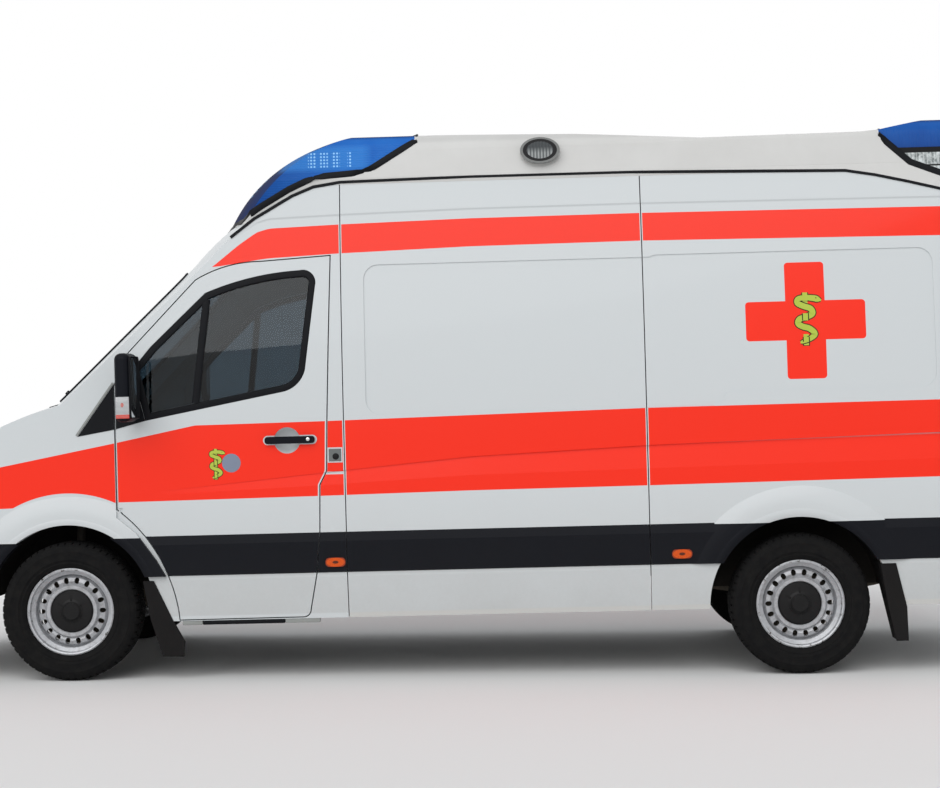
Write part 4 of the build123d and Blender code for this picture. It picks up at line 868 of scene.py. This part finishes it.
# Film emblems. The rod and serpent in yellow-green with a dark edge, cut from thin film, on the crosses at the
# rear and on the front doors, where a plain grey disc stands beside it.
SERPENT = [(-29, -115, 5), (-15, -111, 9), (19, -97, 12), (44, -74, 14), (19, -47, 14.5), (-15, -36, 14.5),
           (-38, -20, 14.5), (-29, 2, 14.5), (5, 12, 14.5), (35, 28, 14.5), (26, 53, 14.5), (-8, 66, 14.5),
           (-38, 82, 14), (-33, 103, 13), (5, 108, 13), (44, 104, 15), (62, 99, 14), (80, 93, 4)]
ROD_HALF, EDGE = 13, 4.6


def smooth_line(points, count=5):
    """More points on a soft line through points."""
    made, ends = [], [points[0], *points, points[-1]]
    for index in range(1, len(ends) - 2):
        p0, p1, p2, p3 = [np.array(p, float) for p in ends[index - 1:index + 3]]
        for t in np.arange(count) / count:
            made.append(0.5 * (2 * p1 + (p2 - p0) * t + (2 * p0 - 5 * p1 + 4 * p2 - p3) * t ** 2
                               + (3 * p1 - p0 - 3 * p2 + p3) * t ** 3))
    return made + [np.array(points[-1], float)]


def tape(line, grow, low, high, place, scale, side):
    """A flat strip of varying width along a line in millimetres, on the body's side."""
    points = []
    for index, (a, b, half) in enumerate(line):
        after, before = line[min(index + 1, len(line) - 1)], line[max(index - 1, 0)]
        run = np.array((after[0] - before[0], after[1] - before[1]))
        normal = np.array((-run[1], run[0])) / max(np.linalg.norm(run), 1e-6) * (half + grow)
        for lift in (low, high):
            points += [tuple(on_side(place[0] + u * scale / 1000, place[1] + v * scale / 1000, side, lift))
                       for u, v in ((a + normal[0], b + normal[1]), (a - normal[0], b - normal[1]))]
    faces = []
    for a in range(0, 4 * len(line) - 4, 4):
        faces += [(a + i, a + j, a + j + 4, a + i + 4) for i, j in ((0, 1), (2, 3), (0, 2), (1, 3))]
    return points, faces + [(0, 1, 3, 2), tuple(len(points) - k for k in (4, 3, 1, 2))]


def rod(low, high):
    return [(0, low, ROD_HALF), (0, high, ROD_HALF)]


yellow_film = plastic("yellow_film", (0.42, 0.52, 0.075), 0.4, 60, 0.0001, 0.0, 1.15)
dark_film = plastic("dark_film", (0.02, 0.024, 0.016), 0.4, 60, 0.0001, 0.0)
grey_film = plastic("grey_film", (0.2, 0.23, 0.3), 0.4, 60, 0.0001, 0.0, 1.2)
crossings = [rod(-112, -88), rod(-6, 30), rod(92, 134)]
for side, name in SIDES:
    snake = smooth_line([(side * -a, b, half) for a, b, half in SERPENT])
    eye = [(side * -52, 106, 2.5), (side * -57, 105, 2.5)]
    for spot, place, scale, sunk, body in (("cross", (1.774, 1.722), 1.0, 0.005, "body"),
                                           ("door", (-1.19, 1.075), 0.58, 0.0, f"{name}_door")):
        edge = EDGE / max(scale, 0.8)
        dark = [(rod(-132, 134), edge, 0, 3), (snake, edge, 5, 7), *((one, edge, 9, 10) for one in crossings[:2]),
                (eye, 0, 9, 12)]
        light = [(rod(-129, 131), -0.5, 3, 5), (snake, 0, 7, 9), *((one, -0.5, 10, 12) for one in crossings)]
        for ending, rows, finish in (("_edge", dark, dark_film), ("", light, yellow_film)):
            shells = [tape(line, grow, 0.0003 - sunk + low / 10000, 0.0003 - sunk + high / 10000, place, scale, side)
                      for line, grow, low, high in rows]
            piece(f"{name}_{spot}_emblem{ending}", shells, finish, body=body)
    ring = [(math.cos(t) * 0.047 - 1.112, math.sin(t) * 0.047 + 1.08)
            for t in np.linspace(0, 2 * math.pi, 40, endpoint=False)]
    piece(f"{name}_door_disc", [plate(ring, 0.00025, 0.0006, side, 0.0)], grey_film, body=f"{name}_door")

# Light bars and fairing on the roof. A white plastic fairing runs back along both sides, between a blue lens in
# front and a blue and clear one at the tail, all set in black rubber; two oval work lamps light the sides.
coat = Finish("fairing_paint", 0.38, Coat_Weight=0.25, Coat_Roughness=0.1)
cloudy = coat.place.noise(4, 5, 0.6)
coat.relief(cloudy, 0.0008)
give(coat.send(Base_Color=cloudy.blend((0.6, 0.6, 0.585), (0.51, 0.505, 0.49))), "roof_fairing")


def grid_dots(a, b, step, radius):
    """1 on round dots set out on a square grid."""
    a, b = [(value * (1 / step)).math("FRACT") - 0.5 for value in (a, b)]
    return a.far(b).under(radius / step, 0.12)


def blue_tone(made, share):
    """Blue that lightens with a share, in faint streaks, with painted shade that turns it nearly black where the lens
    turns away from view.
    """
    streak = made.place.noise(7, 3, 0.6)
    # Painted shade: the blue darkens to near black where the lens is seen edge-on.
    grazing_shade = add(made.tree, "ShaderNodeLayerWeight", 0.5, out="Facing").ramp(0.45, 0.92, 0, 0.88)
    return layered((0.004, 0.02, 0.14), (share, (0.018, 0.115, 0.47)), (streak * share * 0.7, (0.035, 0.2, 0.62)),
                   (grazing_shade, (0.003, 0.007, 0.045)))


lens = Finish("blue_lens", 0.1, Specular_IOR_Level=0.0, Coat_Weight=0.07, Coat_Roughness=0.05)
side_module = lens.along.within(-0.86, -0.4, 0.05) * lens.height.within(2.548, 2.665, 0.03)
a, b, c, d = [lens.along.within(*ends) for ends in ((-0.7, -0.66), (-0.64, -0.6), (-0.58, -0.54),
                                                    (-0.5, -0.48))]
side_dots = grid_dots(lens.along, lens.height, 0.0165, 0.005) * (a | b | c | d) * lens.height.within(2.56, 2.64)
front_dots = (grid_dots(lens.across, lens.height, 0.026, 0.007) * abs(lens.across).within(0.22, 0.58)
              * lens.height.within(2.44, 2.545))
tone = layered(blue_tone(lens, lens.along.ramp(-1.18, -0.45, 0.05, 1)),
               (side_module * 0.6, (0.05, 0.25, 0.68)), (side_dots | front_dots, (0.3, 0.6, 0.95)))
lens.relief(lens.height.wave(0.012), 0.0005)
give(lens.send(Base_Color=tone), "front_light_lens")

lens = Finish("rear_pod_lens", 0.1, Specular_IOR_Level=0.0, Coat_Weight=0.1, Coat_Roughness=0.05)
flutes = lens.along.wave(0.018)
# Painted highlights: the pale patches from noise on the clear part are glints.
clear_part = layered((0.16, 0.18, 0.18),
                     (lens.place.noise(28, 4, 0.7).ramp(0.4, 0.62, 0, 1), (0.66, 0.7, 0.7)),
                     (flutes.over(0.6, 0.5) * 0.35, (0.8, 0.82, 0.82)),
                     (lens.height.within(2.478, 2.486, 0.003), (0.01, 0.01, 0.01)))
tone = layered(clear_part,
               (lens.height.over(2.573), blue_tone(lens, lens.height.ramp(2.57, 2.8, 0.25, 0.9))),
               (lens.height.within(2.547, 2.575, 0.002), (0.01, 0.01, 0.011)))
lens.relief(flutes, 0.0004)
give(lens.send(Base_Color=tone), "rear_light_lens")


def surface(*names):
    """A way to find where a straight line in the level drawing first meets some CAD nodes."""
    points, faces = joined([plain_shell(node[name].data) for name in names])
    tree = BVHTree.FromPolygons([levelled(p) for p in points], faces)

    def land(start, heading):
        heading = Vector(heading).normalized()
        place, normal, _, _ = tree.ray_cast(Vector(start), heading)
        return place, normal if normal.dot(heading) < 0 else -normal

    return land


def laid(spots):
    """A path and its outward directions from landing places."""
    return [place for place, _ in spots], [normal for _, normal in spots]


cap = surface("front_light_lens", "rear_light_lens", "roof_fairing")


def from_side(land, line, side):
    return [land((x, side * 1.3, z), (0, -side, 0)) for x, z in line]


def from_above(x, ys):
    return [cap((x, y, 3.0), (0, 0, -1)) for y in ys]


FRONT_ROUND_X, FRONT_ROUND, COWL_ROUND = 0.9, 3, 3.05
GASKET = [(-0.017, -0.002), (-0.016, 0.0025), (-0.009, 0.0045), (0.009, 0.0045), (0.016, 0.0025), (0.017, -0.002)]
low_edge = even([(-1.13, 2.29), (-1.049, 2.305), (-0.942, 2.374), (-0.8, 2.455), (-0.668, 2.514),
                 (-0.426, 2.53), (-0.388, 2.544), (-0.16, 2.684)], 0.03)
right_run = from_side(cap, low_edge[::-1], 1)
swing = math.atan2(right_run[-1][0].y, FRONT_ROUND_X - right_run[-1][0].x)
front_run = [cap((FRONT_ROUND_X - FRONT_ROUND * math.cos(a), FRONT_ROUND * math.sin(a), 2.29),
                 (math.cos(a), -math.sin(a), 0)) for a in np.linspace(swing, -swing, 40)[1:-1]]
front_loop = from_side(cap, low_edge, -1) + from_above(-0.16, np.linspace(-0.77, 0.77, 30)) + right_run + front_run
rear_edge = even([(2.18, 2.64), (2.33, 2.5), (2.48, 2.44), (2.9, 2.43)], 0.03)
tail_run = [cap((3.1, y, 2.43), (-1, 0, 0)) for y in np.linspace(-0.84, 0.84, 24)]
rear_loop = (from_side(cap, rear_edge, -1) + tail_run + from_side(cap, rear_edge[::-1], 1)
             + from_above(2.18, np.linspace(0.79, -0.79, 30)))
gaskets = [bead(*laid(loop), GASKET) for loop in (front_loop, rear_loop)]
piece("lens_gaskets", gaskets, window_rubber, sharp=50)

skin = surface("cab_frame", "left_side_panel", "left_rear_panel", "rear_frame", "right_sliding_door",
               "right_rear_panel")
SEAM_LINE = even([(-1.097, 2.223), (-0.98, 2.313), (-0.785, 2.426), (-0.676, 2.47), (-0.54, 2.49),
                  (0.119, 2.499), (0.9, 2.498), (2.004, 2.474), (2.15, 2.448), (2.31, 2.41), (2.471, 2.368),
                  (2.6, 2.338), (2.7, 2.325), (2.88, 2.325)], 0.06)
SEAM_SECTION = [(-0.008, -0.003), (-0.007, 0.0055), (0.0, 0.0072), (0.007, 0.0055), (0.008, -0.003)]
seams = [bead(*laid(from_side(skin, [(x, z - 0.007) for x, z in SEAM_LINE], side)), SEAM_SECTION, False)
         for side, _ in SIDES]
piece("roof_seams", seams, window_rubber, sharp=50)

WORK_X, WORK_Z, HALF_LONG, HALF_HIGH = 0.475, 2.612, 0.1, 0.065
lens = Finish("work_lamp", 0.15, Specular_IOR_Level=0.3)
oval = (lens.along * (1 / HALF_LONG)).far(lens.height * (1 / HALF_HIGH), (WORK_X / HALF_LONG, WORK_Z / HALF_HIGH))
flutes = lens.along.wave(0.016)
fluted = lens.height.under(WORK_Z, 0.03) * flutes.math("MULTIPLY_ADD", 0.4, 0.5, use_clamp=True)
tone = layered((0.055, 0.062, 0.066), (fluted, (0.4, 0.42, 0.42)), (oval.over(0.66, 0.02), (0.007, 0.007, 0.008)),
               (oval.over(0.86, 0.02), (0.2, 0.205, 0.2)))
lens.relief(flutes * oval.under(0.66, 0.02), 0.0008)
give(lens.send(Base_Color=tone), "side_lamps")

# Lamps low down. Amber markers in the rub strips, clear headlamps with two bowls and an amber corner, and tail
# lamps in red, amber and clear, all with fine ribs inside their lenses.


def lamp_lens(name):
    return Finish(name, 0.14, Specular_IOR_Level=0.2, Coat_Weight=0.2, Coat_Roughness=0.03)


lens = lamp_lens("amber_lens")
left_edge, right_edge = [lens.along.far(lens.height * 2.0, (middle, 1.144)) for middle in (-0.6, 1.128)]
from_centre = left_edge & right_edge
cells = lens.place.then("ShaderNodeTexVoronoi", None, 300.0)
tone = layered((0.78, 0.105, 0.004), (cells, (0.5, 0.055, 0.002)),
               (from_centre.under(0.015, 0.004), (0.1, 0.02, 0.005)),
               (from_centre.over(0.0455, 0.003), (0.3, 0.04, 0.01)))
lens.relief(cells, 0.0004)
give(lens.send(Base_Color=tone), "marker_lamps")

lens = lamp_lens("headlamp_lens")
low_bowl, high_bowl = [abs(lens.across).far(lens.height, centre) for centre in ((0.665, 0.865), (0.805, 0.905))]
bowl = low_bowl & high_bowl
ripple = lens.across.wave(0.009)
tone = layered((0.2, 0.21, 0.22), (ripple.over(0.3, 0.9), (0.36, 0.37, 0.38)),
               (bowl.under(0.072, 0.003), (0.05, 0.05, 0.055)), (bowl.under(0.066, 0.003), (0.55, 0.57, 0.58)),
               (bowl.within(0.03, 0.042, 0.004), (0.14, 0.14, 0.15)), (bowl.under(0.02, 0.004), (0.82, 0.83, 0.8)),
               (lens.height.over(0.99, 0.002) * bowl.over(0.074, 0.002), (0.72, 0.26, 0.03)))
lens.relief(ripple, 0.0003)
give(lens.send(Base_Color=tone), "headlights")

lens = lamp_lens("tail_lamp_lens")
flutes = lens.across.wave(0.007)
tone = layered((0.34, 0.008, 0.006), (flutes.over(0.2, 0.9), (0.6, 0.02, 0.014)),
               (lens.height.within(0.975, 1.05, 0.001), (0.8, 0.24, 0.015)),
               (lens.height.within(0.89, 0.965, 0.001), (0.52, 0.52, 0.52)),
               *((lens.height.within(line - 0.004, line + 0.004, 0.001), (0.03, 0.03, 0.03))
                 for line in (0.885, 0.97, 1.055)))
lens.relief(flutes, 0.0004)
give(lens.send(Base_Color=tone), "tail_lamps")

# Windscreen border, cowl and wipers. The pane is bonded in behind a black printed border and a rubber lip; a
# black cowl closes the gap to the bonnet, and two wipers are parked low across the glass.
BORDER = [(-0.004, 0.0002), (-0.006, 0.019), (0.0, 0.0215), (0.008, 0.015), (0.014, 0.0014), (0.052, 0.0012),
          (0.052, 0.0002)]
COWL = [(-0.026, -0.004), (-0.023, 0.004), (0.022, 0.004), (0.026, -0.004)]
BLADE = [(-0.005, 0.0005), (-0.0015, 0.012), (-0.007, 0.02), (-0.004, 0.028), (0.004, 0.028), (0.007, 0.02),
         (0.0015, 0.012), (0.005, 0.0005)]
ARM = [(-0.011, 0.03), (-0.007, 0.042), (0.007, 0.042), (0.011, 0.03)]
SPINDLE = [(0, 0.0004), (0, 0.021), (0.038, 0.019), (0.046, 0.012), (0.048, 0.0004)]
HALF_BLADE = 0.33
nose = surface("windscreen", "cab_frame", "bonnet")


def from_ahead(places):
    return [nose((-3.2, y, z), (1, 0, 0)) for y, z in places]


half_loop = [(0.0, 1.4), (0.745, 1.4), (0.772, 1.411), (0.784, 1.437), (0.706, 1.97), (0.694, 2.006),
             (0.668, 2.032), (0.632, 2.047), (0.6, 2.05)]
screen_loop = even(half_loop + [(-y, z) for y, z in reversed(half_loop[1:])], 0.05, True)
screen_path = laid(from_ahead([(y * 0.994, 1.72 + (z - 1.72) * 0.992) for y, z in screen_loop]))
cowl_path = laid([nose((FRONT_ROUND_X - math.sqrt(COWL_ROUND ** 2 - y ** 2), y, 3.0), (0, 0, -1))
                  for y in np.linspace(-0.735, 0.735, 40)])
piece("screen_border", [bead(*screen_path, BORDER), bead(*cowl_path, COWL, False)], window_rubber)
wipers = []
for middle in (-0.36, 0.34):
    blade = laid(from_ahead([(middle + reach, 1.436 + 0.03 * (max(reach, 0) / HALF_BLADE) ** 2)
                             for reach in np.linspace(-HALF_BLADE, HALF_BLADE, 24)]))
    arm = laid(from_ahead([(middle + 0.3 - 0.3 * share, 1.392 + 0.044 * share) for share in np.linspace(0, 1, 10)]))
    wipers += [bead(*blade, BLADE, False), bead(*arm, ARM, False),
               lathe(SPINDLE, arm[0][0] + Vector((0.004, 0, -0.006)), 24, 2, False)]
piece("wipers", wipers, vent_black)

# Tail doors. Each frosted pane sits in a rubber extrusion, and a moulded lining board is clipped on inside.
# The right door has the black pull and carries the seal between the two.
PANE_SECTION = [(-0.012, 0.0003), (-0.011, 0.0032), (0.002, 0.0044), (0.012, -0.001), (0.015, -0.0135),
                (0.0006, -0.0135), (0.0006, 0.0003)]


def rounded_loop(middle, half, corner, steps=6):
    """A rectangle with rounded corners, as a loop of points."""
    made = []
    for quarter, (a, b) in enumerate(((1, 1), (-1, 1), (-1, -1), (1, -1))):
        for step in range(steps + 1):
            angle = math.pi / 2 * (quarter + step / steps)
            made.append((middle[0] + a * (half[0] - corner) + corner * math.cos(angle),
                         middle[1] + b * (half[1] - corner) + corner * math.sin(angle)))
    return even(made, 0.06, True)


for side, name in SIDES:
    loop = [Vector((2.885, y, z)) for y, z in rounded_loop((side * 0.416, 1.69), (0.26, 0.31), 0.06)]
    seal = bead(loop, [Vector((1, 0, 0))] * len(loop), PANE_SECTION)
    piece(f"{name}_tail_window_rubber", [seal], window_rubber, body=f"{name}_tail_door")
    near, off = sorted((side * 0.035, side * 0.765))
    board = [rounded_box((2.8275, 2.8395), (near, off), (0.64, 1.34), 0.005, 2),
             rounded_box((2.815, 2.83), (near + 0.08, off - 0.08), (1.16, 1.24), 0.006, 2)]
    piece(f"{name}_tail_door_lining", board, lining, "lining_panel", f"{name}_tail_door")
pull = [rounded_box((2.8852, 2.893), (0.03, 0.15), (1.06, 1.19), 0.003, 2),
        rounded_box((2.8915, 2.913), (0.048, 0.132), (1.085, 1.122), 0.009, 3)]
piece("tail_door_pull", pull, trim_plastic, body="right_tail_door")
seal = rounded_box((2.885, 2.8885), (-0.012, 0.022), (0.562, 2.37), 0.0015, 2)
piece("tail_door_seal", [seal], window_rubber, body="right_tail_door")

# Step on the rear bumper. Its moulded top is ribbed so that a shoe holds, and two red plastic reflectors
# are clipped into its rear face.
rib = rounded_box((2.893, 2.943), (-0.006, 0.006), (0.529, 0.533), 0.0018, 1)
ribs = grown("ribs", [rib], Count=62, Spacing=0.026, Turns=0.0, Finish=trim_plastic)
piece("bumper_step_ribs", [ribs], trim_plastic)
reflector_red = plastic("reflector_red", (0.42, 0.01, 0.008), 0.2, 260, 0.0003, 0.0, 1.3)
reflectors = [rounded_box((2.9535, 2.9585), sorted((side * 0.66, side * 0.79)), (0.455, 0.495), 0.002, 2)
              for side, _ in SIDES]
piece("rear_reflectors", reflectors, reflector_red, "red_lens")

# Sliding door. Its frosted window sits in a black rubber frame and a black moulded pull is screwed on near
# its front edge. The rail that it runs back on is fixed to the panel behind.
frame_loop = side_bead(rounded_loop((0.2, 1.69), (0.43, 0.28), 0.07), FRAME_SECTION, 1)
piece("sliding_window_frame", [frame_loop], window_rubber)
pull = [rounded_box((-0.48, -0.25), (0.999, 1.015), (1.172, 1.208), 0.007, 3),
        rounded_box((-0.47, -0.43), (0.985, 1.003), (1.178, 1.202), 0.003, 2),
        rounded_box((-0.3, -0.26), (0.985, 1.003), (1.178, 1.202), 0.003, 2)]
piece("sliding_door_pull", pull, trim_plastic)
RAIL = [(0.985, 1.352), (2.3, 1.352), (2.32, 1.372), (2.3, 1.392), (0.985, 1.392)]
piece("sliding_door_rail", [plate(RAIL, 0.0003, 0.004, 1, 0.002)], window_rubber)

# Cab door linings. A card moulded from black plastic is clipped inside each cab door, with an armrest, a
# grab bar and a round speaker.
CARD = [(-1.345, 0.4), (-1.4, 0.56), (-1.475, 0.7), (-1.6, 0.86), (-1.6, 1.24), (-1.5, 1.262),
        (-0.8, 1.385), (-0.715, 1.33), (-0.715, 0.75), (-0.775, 0.4)]
for side, name in SIDES:
    speaker = [(0, 0.0004), (0, 0.078), (-side * 0.006, 0.072), (-side * 0.004, 0.0004)]
    shells = [plate(CARD, -0.0605, -0.074, side, -0.004),
              rounded_box((-1.3, -0.84), sorted((side * 0.862, side * 0.914)), (1.0, 1.062), 0.018, 3),
              rounded_box((-1.44, -1.41), sorted((side * 0.868, side * 0.912)), (0.93, 1.18), 0.012, 3),
              lathe(speaker, (-1.18, side * 0.9115, 0.64), 40, closed=False)]
    piece(f"{name}_door_card", shells, cab_plastic, "cab_plastic", f"{name}_door")

# Sill strips. A black rubber tread strip is clipped under the step of each cab door, between two bright
# pressed clips.
under = surface("cab_frame", "left_side_panel", "right_sliding_door", "front_wings")
for name, low_x, high_x, finish in (("tread_strips", -1.281, -0.868, window_rubber),
                                    ("clips_front", -1.385, -1.284, grey_strip),
                                    ("clips_rear", -0.865, -0.69, grey_strip)):
    shells = []
    for side, _ in SIDES:
        foot = under(((low_x + high_x) / 2, side * 0.935, 0.0), (0, 0, 1))[0].z
        shells.append(rounded_box((low_x, high_x), sorted((side * 0.915, side * 0.948)), (foot - 0.022, foot + 0.002),
                                  0.003, 2))
    piece(f"sill_{name}", shells, finish)

# Intake in the front bumper. A grid moulded from black plastic closes the opening, with a flat black plate
# behind its bars in place of the cooler.
grid = [rounded_box((-2.862, -2.85), (-0.455, 0.455), (0.392, 0.518), 0.004, 1)]
grid += [rounded_box((-2.884, -2.86), (-0.44, 0.44), (z - 0.004, z + 0.004), 0.0025, 1)
         for z in np.linspace(0.418, 0.492, 4)]
grid += [rounded_box((-2.88, -2.86), (y - 0.003, y + 0.003), (0.4, 0.51), 0.002, 1)
         for y in np.linspace(-0.42, 0.42, 15)]
piece("intake_grid", grid, vent_black)

# Flaps behind the wheels. Each rubber sheet has a moulded wing that wraps over the corner of the arch and is
# screwed to the outside of the panel.
WINGS = ([(-1.573, 0.498), (-1.518, 0.498), (-1.427, 0.2845), (-1.377, 0.184), (-1.387, 0.108), (-1.493, 0.11),
          (-1.545, 0.3)],
         [(2.108, 0.5), (2.185, 0.5), (2.241, 0.278), (2.25, 0.106), (2.19, 0.106), (2.148, 0.278)])
wings = [plate(outline, -0.01, 0.006, side, 0.002) for side, _ in SIDES for outline in WINGS]
piece("mud_flap_wings", wings, flap_rubber, "flap_rubber")
